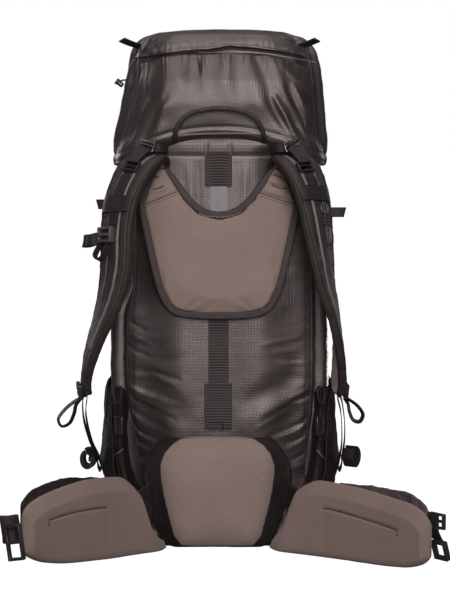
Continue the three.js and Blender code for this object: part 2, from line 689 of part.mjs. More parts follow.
// The aluminium stay and the webbing that holds it on the back panel.
function makeSpine() {
  const overStay = -2 * SEAT - STAY.thick;
  const overSpine = overStay - WEBBING - SEAT;
  const band = ({ width, low, high }, back, thick) => (
    plate(rectangle(STAY.x - width / 2, STAY.x + width / 2, low, high), back, thick));
  add('frame_stay', band(STAY, -SEAT, STAY.thick), ALUMINIUM);
  add('stay_sleeve', band(SLEEVE, overStay, WEBBING), WEBBING_BLACK);
  add('spine_webbing', band(SPINE, overStay, WEBBING), WEBBING_BLACK);
  add('spine_pocket', band(SPINE_POCKET, overSpine, SPINE_POCKET.thick), WEBBING_BLACK);
}

// The yoke's outline: a deep round neck, two wings and a base with round corners.
function yokeOutline() {
  const half = new THREE.Path();
  half.moveTo(0, 502.5);
  half.bezierCurveTo(44, 502.5, 52, 550, 79, 572);
  half.quadraticCurveTo(87, 577, 95, 569);
  half.bezierCurveTo(108, 556, 120, 532, 121, 514);
  half.lineTo(99, 412);
  half.bezierCurveTo(90, 371, 78, 350, 54, 348.5);
  half.quadraticCurveTo(28, 346, 0, 345.8);
  const right = half.getPoints(4);
  const left = right.slice(1, -1).reverse().map((p) => new THREE.Vector2(-p.x, p.y));
  return [...right, ...left];
}

// The same outline drawn a distance further in, and less far at the narrow tops of the wings.
function insetOutline(outline, distance) {
  const count = outline.length;
  const clockwise = THREE.ShapeUtils.isClockWise(outline);
  return outline.map((point, i) => {
    const before = outline[(i + count - 1) % count];
    const after = outline[(i + 1) % count];
    const run = after.clone().sub(before).normalize();
    const part = lerp(1, YOKE_WING.inset, smoothstep(point.y, YOKE_WING.from, YOKE_WING.top));
    const inward = new THREE.Vector2(-run.y, run.x).multiplyScalar(clockwise ? -distance : distance);
    return point.clone().addScaledVector(inward, part);
  });
}

// The padding's edge: how far it is drawn in, as a part of its rounding, at parts of its depth.
const YOKE_EDGE = [
  { inset: 0, depth: 0 },
  { inset: 0, depth: 0.7 },
  { inset: 0.4, depth: 0.9 },
  { inset: 1, depth: 1 },
];

function makeYoke() {
  const edge = yokeOutline();
  const seam = insetOutline(edge, YOKE.binding);
  const front = YOKE_BACK - YOKE.bindingThick;
  const sections = edge.map((outer, i) => [
    vector(outer.x, YOKE_BACK, outer.y),
    vector(outer.x, front, outer.y),
    vector(seam[i].x, front, seam[i].y),
    vector(seam[i].x, YOKE_BACK, seam[i].y),
  ]);
  add('yoke_binding', loft(sections, true), WEBBING_BLACK);
  const rows = YOKE_EDGE.map(({ inset, depth }) => (
    { inset: YOKE.binding + SEAT + inset * YOKE.round, y: YOKE_BACK - depth * YOKE.thick }));
  add('yoke_pad', padPlate(edge, rows), PAD_TAUPE);
}

// A flat pad: rings of one outline at several depths, with flat faces cut into triangles.
function padPlate(edge, rows) {
  const rings = rows.map(({ inset, y }) => insetOutline(edge, inset).map((p) => vector(p.x, y, p.y)));
  const count = edge.length;
  const triangles = [];
  for (let i = 0; i < rings.length - 1; i += 1) {
    for (let j = 0; j < count; j += 1) {
      const a = i * count + j;
      const b = i * count + (j + 1) % count;
      triangles.push([a, b, b + count], [a, b + count, a + count]);
    }
  }
  const cap = (first, turned) => {
    const flat = rings[first / count].map((p) => new THREE.Vector2(p.x, p.z));
    for (const [a, b, c] of THREE.ShapeUtils.triangulateShape(flat, [])) {
      triangles.push(turned ? [first + a, first + c, first + b] : [first + a, first + b, first + c]);
    }
  };
  const clockwise = THREE.ShapeUtils.isClockWise(edge);
  cap(0, !clockwise);
  cap((rings.length - 1) * count, clockwise);
  return body(rings.flat(), triangles);
}

// The lumbar pad's face and the foot of its side wall: heights and half widths of one outline.
const LUMBAR_FACE = { top: 174, topHalf: 58, half: 85, waist: 130, base: 9, baseHalf: 64 };
const LUMBAR_FOOT = { top: 176, topHalf: 78, half: 112, waist: 118, base: 1, baseHalf: 88 };
const LUMBAR_STEPS = 16;
// The pad's crown: the outline's size at parts of the crown's height.
const LUMBAR_CROWN = [
  { size: 1, height: 0 },
  { size: 0.9, height: 0.42 },
  { size: 0.76, height: 0.72 },
  { size: 0.4, height: 0.95 },
];

function lumbarRing({ top, topHalf, half, waist, base, baseHalf }, y) {
  const path = new THREE.Path();
  path.moveTo(0, top);
  path.bezierCurveTo(topHalf * 0.6, top, topHalf, top, topHalf + 4, top - 8);
  path.quadraticCurveTo(half, waist + 16, half, waist);
  path.bezierCurveTo(half, waist - 40, baseHalf + 8, base + 44, baseHalf, base + 12);
  path.quadraticCurveTo(baseHalf - 4, base, baseHalf - 18, base);
  path.lineTo(0, base);
  const right = path.getSpacedPoints(LUMBAR_STEPS);
  const left = right.slice(1, -1).reverse().map((p) => new THREE.Vector2(-p.x, p.y));
  return [...right, ...left].map((p) => vector(LUMBAR.centre + p.x, y, p.y));
}

function makeLumbar() {
  const front = -LUMBAR.wall;
  const foot = [lumbarRing(LUMBAR_FOOT, -SEAT), lumbarRing(LUMBAR_FOOT, -LUMBAR.foot)];
  add('lumbar_surround', loft([...foot, lumbarRing(LUMBAR_FACE, front)]), FABRIC_BLACK);
  const middle = vector(LUMBAR.centre, 0, (LUMBAR_FACE.top + LUMBAR_FACE.base) / 2);
  const ring = (size, y) => lumbarRing(LUMBAR_FACE, 0).map((p) => (
    p.sub(middle).multiplyScalar(size).add(middle).setY(y)));
  const rim = front - LUMBAR.rim;
  const crown = LUMBAR_CROWN.map(({ size, height }) => ring(size, rim - height * LUMBAR.crown));
  add('lumbar_pad', loft([ring(1, front - SEAT), ...crown]), PAD_TAUPE);
}

// A point of a hip fin: "at" runs from the lumbar pad to the tip, "up" from its lower to its upper
// edge, and "outward" is measured from the middle of the padding away from the wearer.
function finPoint(rows, side, at, up, outward, rise = 0) {
  const place = at * (rows.length - 1);
  const numbered = rows.map((row, i) => ({ ...row, i }));
  const path = curve(rows.map((row) => [row.out, row.y, 0]));
  const centre = path.getPoint(at);
  const run = path.getTangent(at);
  const low = along(numbered, 'i', 'low', place);
  const high = along(numbered, 'i', 'high', place) + rise;
  const x = centre.x - run.y * outward;
  const y = centre.y + run.x * outward;
  return vector(side * x, y, lerp(low, high, up));
}

function finThickness(rows, at) {
  const numbered = rows.map((row, i) => ({ ...row, i }));
  return FIN_THICK * along(numbered, 'i', 'thick', at * (rows.length - 1));
}

// The section of a fin: round-edged padding, as parts of its height and of half its thickness.
const FIN_SECTION = [
  { up: 0, out: 0.35 },
  { up: 0.05, out: 0.8 },
  { up: 0.25, out: 1 },
  { up: 0.7, out: 1 },
  { up: 0.93, out: 0.8 },
  { up: 1, out: 0.35 },
];

// The section of the pocket on a fin: parts of the fin's height and of the pocket's own depth.
const HIP_POCKET_SECTION = [
  { up: 0.06, out: 0 },
  { up: 0.5, out: 0 },
  { up: 1, out: 0 },
  { up: 1, out: 0.3 },
  { up: 0.9, out: 0.8 },
  { up: 0.45, out: 1 },
  { up: 0.12, out: 0.6 },
];

function makeFin({ word, side, fin }) {
  const rings = [];
  for (let i = 0; i <= FIN_STEPS; i += 1) {
    const at = i / FIN_STEPS;
    const half = finThickness(fin, at) / 2;
    const outer = FIN_SECTION.map(({ up, out }) => finPoint(fin, side, at, up, out * half));
    const inner = FIN_SECTION.map(({ up, out }) => finPoint(fin, side, at, up, -out * half)).reverse();
    rings.push([...outer, ...inner]);
  }
  add(`hip_fin_${word}`, loft(rings), PAD_TAUPE);
}

// The zipped pocket on the outside of a fin, a little taller than the padding.
function makeHipPocket({ word, side, fin }) {
  const seat = FIN_THICK / 2 + SEAT;
  const rings = [];
  for (let i = 0; i <= HIP_POCKET.steps; i += 1) {
    const part = i / HIP_POCKET.steps;
    const at = lerp(HIP_POCKET.from, HIP_POCKET.to, part);
    const swell = HIP_POCKET_THICK * lerp(HIP_POCKET.endSwell, 1, Math.sin(Math.PI * part) ** 0.6);
    const rise = HIP_POCKET.rise * Math.sin(Math.PI * part ** HIP_POCKET.lean);
    const point = ({ up, out }) => finPoint(fin, side, at, up, seat + out * swell, rise);
    rings.push(HIP_POCKET_SECTION.map(point));
  }
  add(`hip_pocket_${word}`, loft(rings), FABRIC_BLACK);
}

// The frame of a shoulder strap at a place along it: its middle, the direction across it towards
// the middle of the pack, and the direction its outer face looks.
function strapFrame(rows, side, at) {
  const numbered = rows.map((row, i) => ({ ...row, i }));
  const place = at * (rows.length - 1);
  const path = curve(rows.map((row) => [row.out, row.y, row.z]));
  const centre = path.getPoint(at);
  const forward = path.getTangent(at);
  const turn = degToRad(along(numbered, 'i', 'turn', place));
  const across = vector(-Math.cos(turn), -Math.sin(turn), 0);
  across.addScaledVector(forward, -across.dot(forward)).normalize();
  const face = new THREE.Vector3().crossVectors(across, forward).normalize();
  const half = along(numbered, 'i', 'width', place) / 2;
  for (const direction of [centre, across, face, forward]) direction.x *= side;
  return { centre, across, face, forward, half };
}

// A point on a strap: "across" from -1 at its outer edge to 1 at its inner edge, "off" its middle.
function strapPoint(rows, side, at, across, off) {
  const frame = strapFrame(rows, side, at);
  return frame.centre.addScaledVector(frame.across, across * frame.half).addScaledVector(frame.face, off);
}

// The section of a strap: parts of its half width and of half its thickness.
const STRAP_SECTION = [
  { across: -1, off: -0.45 },
  { across: -0.9, off: -0.95 },
  { across: -0.4, off: -1 },
  { across: 0.4, off: -1 },
  { across: 0.9, off: -0.95 },
  { across: 1, off: -0.45 },
  { across: 1, off: 0.45 },
  { across: 0.9, off: 0.95 },
  { across: 0.4, off: 1 },
  { across: -0.4, off: 1 },
  { across: -0.9, off: 0.95 },
  { across: -1, off: 0.45 },
];

function makeStrap({ word, side, strap }) {
  const half = STRAP_THICK / 2;
  const rings = [];
  for (let i = 0; i <= STRAP_STEPS; i += 1) {
    const at = i / STRAP_STEPS;
    rings.push(STRAP_SECTION.map(({ across, off }) => strapPoint(strap, side, at, across, off * half)));
  }
  add(`shoulder_strap_${word}`, loft(rings), FABRIC_BLACK);
}

// A flat band on the outer face of a strap.
function makeStrapTrim({ name, on, from, to, outer, inner, taper, low }) {
  const middle = (outer + inner) / 2;
  const place = (u, v, face) => {
    const across = middle + (lerp(outer, inner, v) - middle) * lerp(1, taper, u);
    return strapPoint(on.strap, on.side, lerp(from, to, u), across, STRAP_THICK / 2 + low + face * WEBBING);
  };
  add(name, sheet(place, 4, 1), WEBBING_BLACK);
}

// Haul loop over the lower edge of the lid.
function makeHaulLoop() {
  const right = mirrored(HAUL_LOOP, 1);
  const left = mirrored(HAUL_LOOP.slice(0, -1), -1);
  const path = curve([...left, ...right.reverse()]);
  add('haul_loop', cord(path, 2 * HAUL.radius, HAUL.steps, HAUL.sides), WEBBING_BLACK);
}

// The load lifter of one side: a strap from the haul loop's foot to a ladder lock, and on from
// there to a second ladder lock on the shoulder strap.
function makeLifter({ word, side, strap }) {
  const lidStrap = curve(mirrored(LID_STRAP, side));
  add(`lid_strap_${word}`, strip(lidStrap, UP, LIFTER.lidWidth, LIFTER.steps), WEBBING_BLACK);
  const anchor = vector(side * ANCHOR.out, ANCHOR.y, ANCHOR.z);
  const slope = turned(side, ANCHOR_TURN.slope);
  const wide = turned(side, ANCHOR_TURN.wide);
  const outward = turned(side, ANCHOR_TURN.face);
  buckle(`anchor_buckle_${word}`, BUCKLES.anchor, anchor, wide, outward);
  const lock = strapFrame(strap, side, LIFTER.at);
  const seat = STRAP_THICK / 2 + LIFTER.lift;
  const lockSeat = strapPoint(strap, side, LIFTER.at, 0, seat);
  buckle(`lifter_buckle_${word}`, BUCKLES.lifter, lockSeat, lock.across, lock.face);
  const { overLock, overAnchor, pastAnchor } = LIFTER_CLEAR;
  const from = anchor.clone().addScaledVector(outward, overAnchor).addScaledVector(slope, -pastAnchor);
  const to = strapPoint(strap, side, LIFTER.at - 0.01, 0, seat + overLock);
  const middle = from.clone().lerp(to, 0.5).add(vector(0, -LIFTER.sag, LIFTER.sag));
  const across = (at) => wide.clone().lerp(lock.across.clone().negate(), at);
  const path = new THREE.CatmullRomCurve3([from, middle, to]);
  add(`load_lifter_${word}`, strip(path, across, LIFTER.width, LIFTER.steps), WEBBING_BLACK);
}

// Sternum strap: its buckle and folded end on the left, its ring and clip on the right.
function makeSternum() {
  const half = STRAP_THICK / 2;
  const place = ({ strap, side }, { at, across, seat }) => strapPoint(strap, side, at, across, half + seat);
  const left = strapFrame(LEFT.strap, LEFT.side, STERNUM.at);
  buckle('sternum_buckle', BUCKLES.sternum, place(LEFT, STERNUM), left.across, left.face);
  const edge = place(LEFT, { at: STERNUM.at, across: STERNUM.foldAcross, seat: STERNUM.foldSeat });
  const fold = mirrored(STERNUM_FOLD, LEFT.side).map(([x, y, z]) => [edge.x + x, edge.y + y, edge.z + z]);
  const loop = strip(curve(fold, true), vector(0.2, 0, 1), STERNUM.foldWidth, LOOP_STEPS, WEBBING, true);
  add('sternum_loop', loop, WEBBING_BLACK);
  const wire = new THREE.TorusGeometry(STERNUM_RING.radius, STERNUM_RING.wire, 5, 12);
  const ring = add('sternum_ring', wire, PLASTIC_BLACK);
  const ringFrame = strapFrame(RIGHT.strap, RIGHT.side, STERNUM_RING.at);
  setPiece(ring, place(RIGHT, STERNUM_RING), ringFrame.across, ringFrame.face);
  const clipFrame = strapFrame(RIGHT.strap, RIGHT.side, STERNUM_CLIP.at);
  buckle('sternum_clip', BUCKLES.clip, place(RIGHT, STERNUM_CLIP), clipFrame.across, clipFrame.face);
}

function makeStrapEnd({ word, side, strap, loop, lower }) {
  const frame = strapFrame(strap, side, STRAP_END.at);
  const lock = strapPoint(strap, side, STRAP_END.at, 0, STRAP_THICK / 2 + STRAP_END.seat);
  buckle(`strap_adjuster_${word}`, BUCKLES.adjuster, lock, frame.across, frame.face);
  const hook = lock.clone().addScaledVector(frame.forward, STRAP_END.hook);
  hook.addScaledVector(frame.face, STRAP_END.hookOff);
  const pull = curve(mirrored(loop, side).map(([x, y, z]) => [hook.x + x, hook.y + y, hook.z + z]), true);
  const pullLoop = strip(pull, vector(0, 1, 0), STRAP_END.loopWidth, LOOP_STEPS, WEBBING, true);
  add(`pull_loop_${word}`, pullLoop, WEBBING_BLACK);
  const down = curve(mirrored(lower, side), true);
  const across = vector(...LOWER_STRAP.across);
  const lowerStrap = strip(down, across, LOWER_STRAP.width, 2 * lower.length, LOWER_STRAP.thick, true);
  add(`lower_strap_${word}`, lowerStrap, WEBBING_BLACK);
}

// The spare length of the lower strap, rolled up.
function makeTailRoll({ word, side, roll }) {
  const outline = new THREE.Shape().absellipse(0, 0, ROLL.wide / 2, ROLL.tall / 2, 0, 2 * Math.PI);
  outline.holes.push(new THREE.Path().absellipse(0, 0, ROLL.hole / 2, ROLL.hole, 0, 2 * Math.PI));
  const solid = { depth: ROLL.deep, bevelEnabled: false, curveSegments: 7 };
  const geometry = new THREE.ExtrudeGeometry(outline, solid).translate(0, 0, -ROLL.deep / 2);
  const wide = vector(Math.cos(roll.turn), side * Math.sin(roll.turn), 0);
  const axis = vector(side * Math.sin(roll.turn), -Math.cos(roll.turn), 0);
  const mesh = add(`tail_roll_${word}`, geometry, WEBBING_BLACK);
  setPiece(mesh, vector(side * roll.out, roll.y, roll.z), wide, axis);
}

// A point on the round corner between the back panel and a side of the bag.
function cornerPoint(side, turn, z, off) {
  const level = rowAt(BAG_LEVELS, 'z', z);
  const radius = level.backCorner + off;
  const x = level.half - level.backCorner + radius * Math.sin(turn);
  const y = level.back + level.backCorner - radius * Math.cos(turn);
  return vector(side * x, y, z);
}

// The cord loop and the buckle of the compression strap on the corner above a side pocket.
function makeSideFastener({ word, side }) {
  const { turn, z, seat } = SIDE_BUCKLE;
  const face = vector(side * Math.sin(turn), -Math.cos(turn), 0);
  const wide = vector(Math.cos(turn), side * Math.sin(turn), 0);
  buckle(`side_buckle_${word}`, BUCKLES.side, cornerPoint(side, turn, z, seat), wide, face);
  const points = SIDE_CORD.map((row) => cornerPoint(side, row.turn, row.z, 0.55 * CORD));
  const path = new THREE.CatmullRomCurve3(points, true);
  add(`side_cord_${word}`, cordRing(path, CORD, 12), WEBBING_BLACK);
}

// A folded webbing tab that stands out from the side of the bag.
function makeSideTab({ word, side, tab }) {
  const wall = bagSide(tab.y, tab.z) + SIDE_TAB.clear;
  const fold = SIDE_TAB_FOLD.map(({ reach, y }) => [side * (wall + reach * tab.reach), tab.y + y, tab.z]);
  const across = vector(side * SIDE_TAB.lean, 0, 1);
  const folded = strip(curve(fold, true), across, SIDE_TAB.width, LOOP_STEPS, WEBBING, true);
  add(`side_tab_${word}`, folded, WEBBING_BLACK);
}

function makeLidTab({ word, side }) {
  const path = curve(mirrored(LID_TAB, side));
  const tab = strip(path, vector(0, 1, 0.3), LID_TAB_SIZE.width, 4, LID_TAB_SIZE.thick);
  add(`lid_tab_${word}`, tab, WEBBING_BLACK);
}

function makeLidLock() {
  const profile = LID_LOCK_PROFILE.map(({ radius, up }) => new THREE.Vector2(radius, up));
  const lock = add('lid_cord_lock', new THREE.LatheGeometry(profile, 10), PLASTIC_BLACK);
  setPiece(lock, vector(LID_LOCK.x, LID_LOCK.y, LID_LOCK.z), vector(0, 1, 0), vector(...LID_LOCK.axis));
}

// A point on the outside of a fin beside its tip.
function beltRoot({ fin, side }, { at, clear }) {
  const outward = finThickness(fin, at) / 2 + SEAT + WEBBING / 2 + clear;
  return finPoint(fin, side, at, 0.5, outward);
}

function makeBeltLeft() {
  const root = beltRoot(LEFT, BELT_LEFT);
  const fold = curve(BELT_FOLD.map(({ out, y }) => [root.x - out, root.y + y, BELT_LEFT.z]), true);
  const webbing = strip(fold, vector(BELT_LEFT.lean, 0, 1), BELT_WIDTH, SMALL_STEPS, WEBBING, true);
  add('belt_webbing_left', webbing, WEBBING_BLACK);
  const { x, y, z, wide, face } = BELT_BUCKLE_LEFT;
  buckle('belt_buckle_left', BUCKLES.beltLeft, vector(x, y, z), vector(...wide), vector(...face));
}

function makeBeltRight() {
  const root = beltRoot(RIGHT, BELT_RIGHT);
  const { fin, side } = RIGHT;
  const run = finPoint(fin, side, 0.96, 0.5, 0).sub(finPoint(fin, side, 0.9, 0.5, 0)).setZ(0).normalize();
  const outward = vector(-run.y, run.x, 0);
  const place = ({ off, z, forward = 0 }) => (
    root.clone().addScaledVector(outward, off).addScaledVector(run, forward).setZ(z));
  const hang = new THREE.CatmullRomCurve3(BELT_HANG.map(place));
  add('belt_webbing_right', strip(hang, run, BELT_RIGHT.width, LIFTER.steps), WEBBING_BLACK);
  buckle('belt_slide_right', BUCKLES.slide, place(BELT_SLIDE), run, outward);
  const face = outward.clone().setZ(BELT_BUCKLE_RIGHT.lean);
  buckle('belt_buckle_right', BUCKLES.beltRight, place(BELT_BUCKLE_RIGHT), run, face);
}

makeBag();
makeLid();
makeZipFlap();
makeLidLock();
makeSpine();
makeYoke();
makeLumbar();
makeHaulLoop();
for (const half of SIDES) {
  makeSidePocket(half);
  makeSideFastener(half);
  makeSideTab(half);
  makeLidTab(half);
  makeFin(half);
  makeHipPocket(half);
  makeStrap(half);
  makeLifter(half);
  makeStrapEnd(half);
  makeTailRoll(half);
}
for (const trim of STRAP_TRIM) makeStrapTrim(trim);
makeSternum();
makeBeltLeft();
makeBeltRight();

// The pack stands on its base, with the origin below the middle of its footprint.
const extent = new THREE.Box3().setFromObject(pack);
pack.position.set(-(extent.min.x + extent.max.x) / 2, -(extent.min.y + extent.max.y) / 2, -extent.min.z);

export default pack;
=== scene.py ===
import bpy
import math
import numpy as np
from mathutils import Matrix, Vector, noise
from mathutils.bvhtree import BVHTree


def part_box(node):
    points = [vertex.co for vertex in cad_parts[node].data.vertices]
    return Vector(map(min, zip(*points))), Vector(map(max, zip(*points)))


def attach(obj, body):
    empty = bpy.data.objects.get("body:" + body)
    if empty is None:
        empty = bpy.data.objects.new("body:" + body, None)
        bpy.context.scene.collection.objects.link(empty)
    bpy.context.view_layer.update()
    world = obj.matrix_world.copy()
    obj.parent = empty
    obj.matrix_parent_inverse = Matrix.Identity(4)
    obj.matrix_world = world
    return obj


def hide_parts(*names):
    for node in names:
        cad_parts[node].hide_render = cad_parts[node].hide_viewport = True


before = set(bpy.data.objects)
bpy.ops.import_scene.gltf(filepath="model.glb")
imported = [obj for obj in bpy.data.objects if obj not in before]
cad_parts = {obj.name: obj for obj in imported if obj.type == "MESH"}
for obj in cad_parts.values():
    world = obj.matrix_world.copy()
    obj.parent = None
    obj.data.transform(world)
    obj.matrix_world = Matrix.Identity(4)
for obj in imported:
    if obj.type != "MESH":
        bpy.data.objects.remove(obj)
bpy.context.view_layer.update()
mm = 0.001

# The pack is drawn in millimetres from the middle of its back panel, at the floor.
stayLow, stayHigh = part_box("frame_stay")
stayOff = (1.5, 0.4)
drawnFrom = np.array([(stayLow.x + stayHigh.x) / 2 + stayOff[0] * mm, stayHigh.y + stayOff[1] * mm, 0])


def spot(x, y, z):
    x, y, z = np.broadcast_arrays(x, y, z)
    return np.stack([x, y, z], axis=-1) * mm + drawnFrom


# Camera, floor and light
shot = {
    "lens": 108, "sensor": 36, "far": 2700, "lift": 3, "aim": (8.25, 0, 373.6),
    "wide": 450, "tall": 600, "clip": 100,
}
studio = {
    "floor": ((0.13, 0.127, 0.125), (0.16, 0.156, 0.154)), "floorSize": 24, "speckle": 3.0,
    "glow": 1.0, "tint": (1.0, 0.955, 0.935), "ambient": 0.05,
    "boxes": [  # place, aimed at, width, height, watts
        ((0.2, -3.1, 1.35), (0, 0, 0.45), 1.0, 1.7, 104),
        ((-0.3, -1.2, 2.6), (0, 0, 0.40), 1.1, 0.6, 18),
        ((0.1, 0.5, 2.4), (0, 0.1, 0.60), 1.4, 0.7, 12),
        ((-1.7, 0.7, 0.9), (0, 0.1, 0.45), 0.35, 1.6, 1.5),
        ((-1.8, 2.9, 1.3), (0, 0.1, 0.40), 1.3, 1.5, 24),
        ((1.8, 2.9, 1.3), (0, 0.1, 0.40), 1.3, 1.5, 14),
    ],
    "sideSheen": ((1.5, 1.4, 0.55), (0.15, 0.1, 0.40), 0.8, 1.2, 75),
}
lift = math.radians(shot["lift"])
zoom = shot["lens"] / shot["sensor"] * shot["tall"]
viewRight = np.array([1.0, 0.0, 0.0])
viewAhead = np.array([0.0, math.cos(lift), -math.sin(lift)])
viewUp = np.array([0.0, math.sin(lift), math.cos(lift)])
eye = spot(*shot["aim"]) - viewAhead * shot["far"] * mm


# Where a point of the pack falls in the picture.
def seenAt(points):
    away = points - eye
    depth = away @ viewAhead
    return shot["wide"] / 2 + zoom * (away @ viewRight) / depth, shot["tall"] / 2 - zoom * (away @ viewUp) / depth


# The direction from the camera through a place in the picture.
def aimAt(x, y):
    ray = viewAhead + viewRight * (x - shot["wide"] / 2) / zoom - viewUp * (y - shot["tall"] / 2) / zoom
    return ray / np.linalg.norm(ray)


# Where the camera meets a piece at a place in the picture, and the way the piece faces there.
def hitAt(tree, x, y):
    return tree.ray_cast(Vector(eye), Vector(aimAt(x, y)))[:2]


def makeStudio():
    scene = bpy.context.scene
    lens = bpy.data.cameras.new("camera")
    lens.lens, lens.sensor_width, lens.clip_end = shot["lens"], shot["sensor"], shot["clip"]
    camera = bpy.data.objects.new("camera", lens)
    scene.collection.objects.link(camera)
    camera.location = eye
    camera.rotation_euler = Vector(viewAhead).to_track_quat("-Z", "Y").to_euler()
    scene.camera = camera
    for index, (place, aim, width, height, watts) in enumerate(studio["boxes"] + [studio["sideSheen"]]):
        lamp = bpy.data.lights.new(f"softbox{index}", "AREA")
        lamp.shape, lamp.size, lamp.size_y, lamp.energy = "RECTANGLE", width, height, watts
        lamp.color = studio["tint"]
        box = bpy.data.objects.new(lamp.name, lamp)
        scene.collection.objects.link(box)
        box.location = place
        box.rotation_euler = (Vector(aim) - Vector(place)).to_track_quat("-Z", "Y").to_euler()
    box.light_linking.receiver_collection = sheenOn  # the last one falls on the bag alone
    deselect()
    bpy.ops.mesh.primitive_plane_add(size=studio["floorSize"])
    floor = bpy.context.object
    floor.name = "floor"
    floor.data.materials.append(floorPaint())
    scene.world = bpy.data.worlds.new("studio")
    scene.world.use_nodes = True
    tree = scene.world.node_tree
    tree.nodes.clear()
    seen = node(tree, "LightPath").outputs["Is Camera Ray"]
    strength = node(tree, "MapRange", {"Value": seen, "To Min": studio["ambient"], "To Max": 1.0}).outputs[0]
    sky = node(tree, "Background", {"Color": (1, 1, 1, 1), "Strength": strength})
    node(tree, "OutputWorld", {0: sky.outputs[0]})
    scene.view_settings.view_transform = "Standard"
    print("studio ready")


# Shader helpers
def node(tree, kind, inputs=None, **values):
    made = tree.nodes.new("ShaderNode" + kind)
    for name, value in values.items():
        setattr(made, name, value)
    for name, value in (inputs or {}).items():
        if isinstance(value, bpy.types.NodeSocket):
            tree.links.new(value, made.inputs[name])
        else:
            made.inputs[name].default_value = value
    return made


def calc(tree, operation, a, b=0.0):
    return node(tree, "Math", {0: a, 1: b}, operation=operation).outputs[0]


def noiseAt(tree, place, scale, detail=2.0, rough=0.5):
    inputs = {"Vector": place, "Scale": scale, "Detail": detail, "Roughness": rough}
    return node(tree, "TexNoise", inputs).outputs[0]


def startGroup(name, vectors, numbers):
    tree = bpy.data.node_groups.new(name, "ShaderNodeTree")
    for label in vectors + numbers:
        kind = "Vector" if label in vectors else "Float"
        tree.interface.new_socket(name=label, in_out="INPUT", socket_type="NodeSocket" + kind)
    return tree, tree.nodes.new("NodeGroupInput").outputs


def endGroup(tree, **values):
    for label in values:
        tree.interface.new_socket(name=label, in_out="OUTPUT", socket_type="NodeSocketFloat")
    leave = tree.nodes.new("NodeGroupOutput")
    for label, value in values.items():
        tree.links.new(value, leave.inputs[label])
    return tree


# One set of threads across a coordinate: 1 on the thread, 0 between two.
def threads(tree, coordinate, pitch, thin):
    turns = calc(tree, "DIVIDE", coordinate, pitch)
    wave = calc(tree, "ABSOLUTE", calc(tree, "SUBTRACT", calc(tree, "FRACT", turns), 0.5))
    return node(tree, "MapRange", {"Value": wave, "From Min": 0.5 - thin, "From Max": 0.5},
                interpolation_type="SMOOTHSTEP").outputs[0]


# How much of the pitch each kind of thread takes, and fine threads to one strong thread.
weaves = {"grid": 0.14, "fine": 0.5, "finePerGrid": 7.0, "rib": 0.45, "wander": 900.0, "knit": 0.45}


# Cloth: a fine weave with stronger threads every few millimetres, and slow unevenness.
def makeClothGroup():
    tree, enter = startGroup("cloth weave", ["Cloth", "Place"], ["Pitch", "Mottle"])
    split = node(tree, "SeparateXYZ", {0: enter["Cloth"]}).outputs
    grid = calc(tree, "MAXIMUM", *(threads(tree, split[k], enter["Pitch"], weaves["grid"]) for k in (0, 1)))
    fine = calc(tree, "DIVIDE", enter["Pitch"], weaves["finePerGrid"])
    weave = calc(tree, "MULTIPLY", *(threads(tree, split[k], fine, weaves["fine"]) for k in (0, 1)))
    return endGroup(tree, Weave=weave, Grid=grid, Tone=noiseAt(tree, enter["Place"], enter["Mottle"], 4.0, 0.55))


# Webbing: ribs across the strap and lengthwise cords.
def makeRibGroup():
    tree, enter = startGroup("webbing ribs", ["Cloth", "Place"], ["Rib", "Cord"])
    split = node(tree, "SeparateXYZ", {0: enter["Cloth"]}).outputs
    rib = threads(tree, split[1], enter["Rib"], weaves["rib"])
    cord = threads(tree, split[0], enter["Cord"], weaves["rib"])
    return endGroup(tree, Rib=rib, Cord=cord, Tone=noiseAt(tree, enter["Place"], weaves["wander"]))


# Brushed pad fabric: short fibres over a knit, with slow rubbed patches.
def makeFleeceGroup():
    tree, enter = startGroup("pad fleece", ["Place"], ["Fibre", "Patch"])
    fibre = noiseAt(tree, enter["Place"], enter["Fibre"], 3.0, 0.7)
    scale = calc(tree, "MULTIPLY", enter["Fibre"], weaves["knit"])
    knit = node(tree, "TexVoronoi", {"Vector": enter["Place"], "Scale": scale}).outputs["Distance"]
    return endGroup(tree, Fibre=fibre, Knit=knit, Patch=noiseAt(tree, enter["Place"], enter["Patch"], 3.0))


def startPaint(name, **fixed):
    paint = bpy.data.materials.new(name)
    paint.use_nodes = True
    tree = paint.node_tree
    tree.nodes.clear()
    shader = node(tree, "BsdfPrincipled", fixed)
    node(tree, "OutputMaterial", {0: shader.outputs[0]})
    return paint, tree, shader, node(tree, "TexCoord").outputs


def blend(tree, factor, low, high):
    low, high = (value if isinstance(value, bpy.types.NodeSocket) else (*value, 1) for value in (low, high))
    return node(tree, "Mix", {0: factor, 6: low, 7: high}, data_type="RGBA").outputs[2]


# Carries the middle of a noise's range to a range of its own.
def spread(tree, value, low, high):
    return node(tree, "MapRange", {
        "Value": value, "From Min": 0.3, "From Max": 0.7, "To Min": low, "To Max": high}).outputs[0]


def dress(tree, shader, base, rough, height, depth):
    bump = node(tree, "Bump", {"Height": height, "Strength": 1.0, "Distance": depth}).outputs[0]
    for label, value in (("Base Color", base), ("Roughness", rough), ("Normal", bump)):
        tree.links.new(value, shader.inputs[label])


def floorPaint():
    paint, tree, shader, coords = startPaint("floor", **{
        "Roughness": 0.9, "Specular IOR Level": 0.1, "Emission Color": (1, 1, 1, 1)})
    seen = node(tree, "LightPath").outputs["Is Camera Ray"]
    tree.links.new(calc(tree, "MULTIPLY", seen, studio["glow"]), shader.inputs["Emission Strength"])
    speckle = noiseAt(tree, coords["Object"], studio["speckle"])
    tree.links.new(blend(tree, speckle, *studio["floor"]), shader.inputs["Base Color"])
    return paint


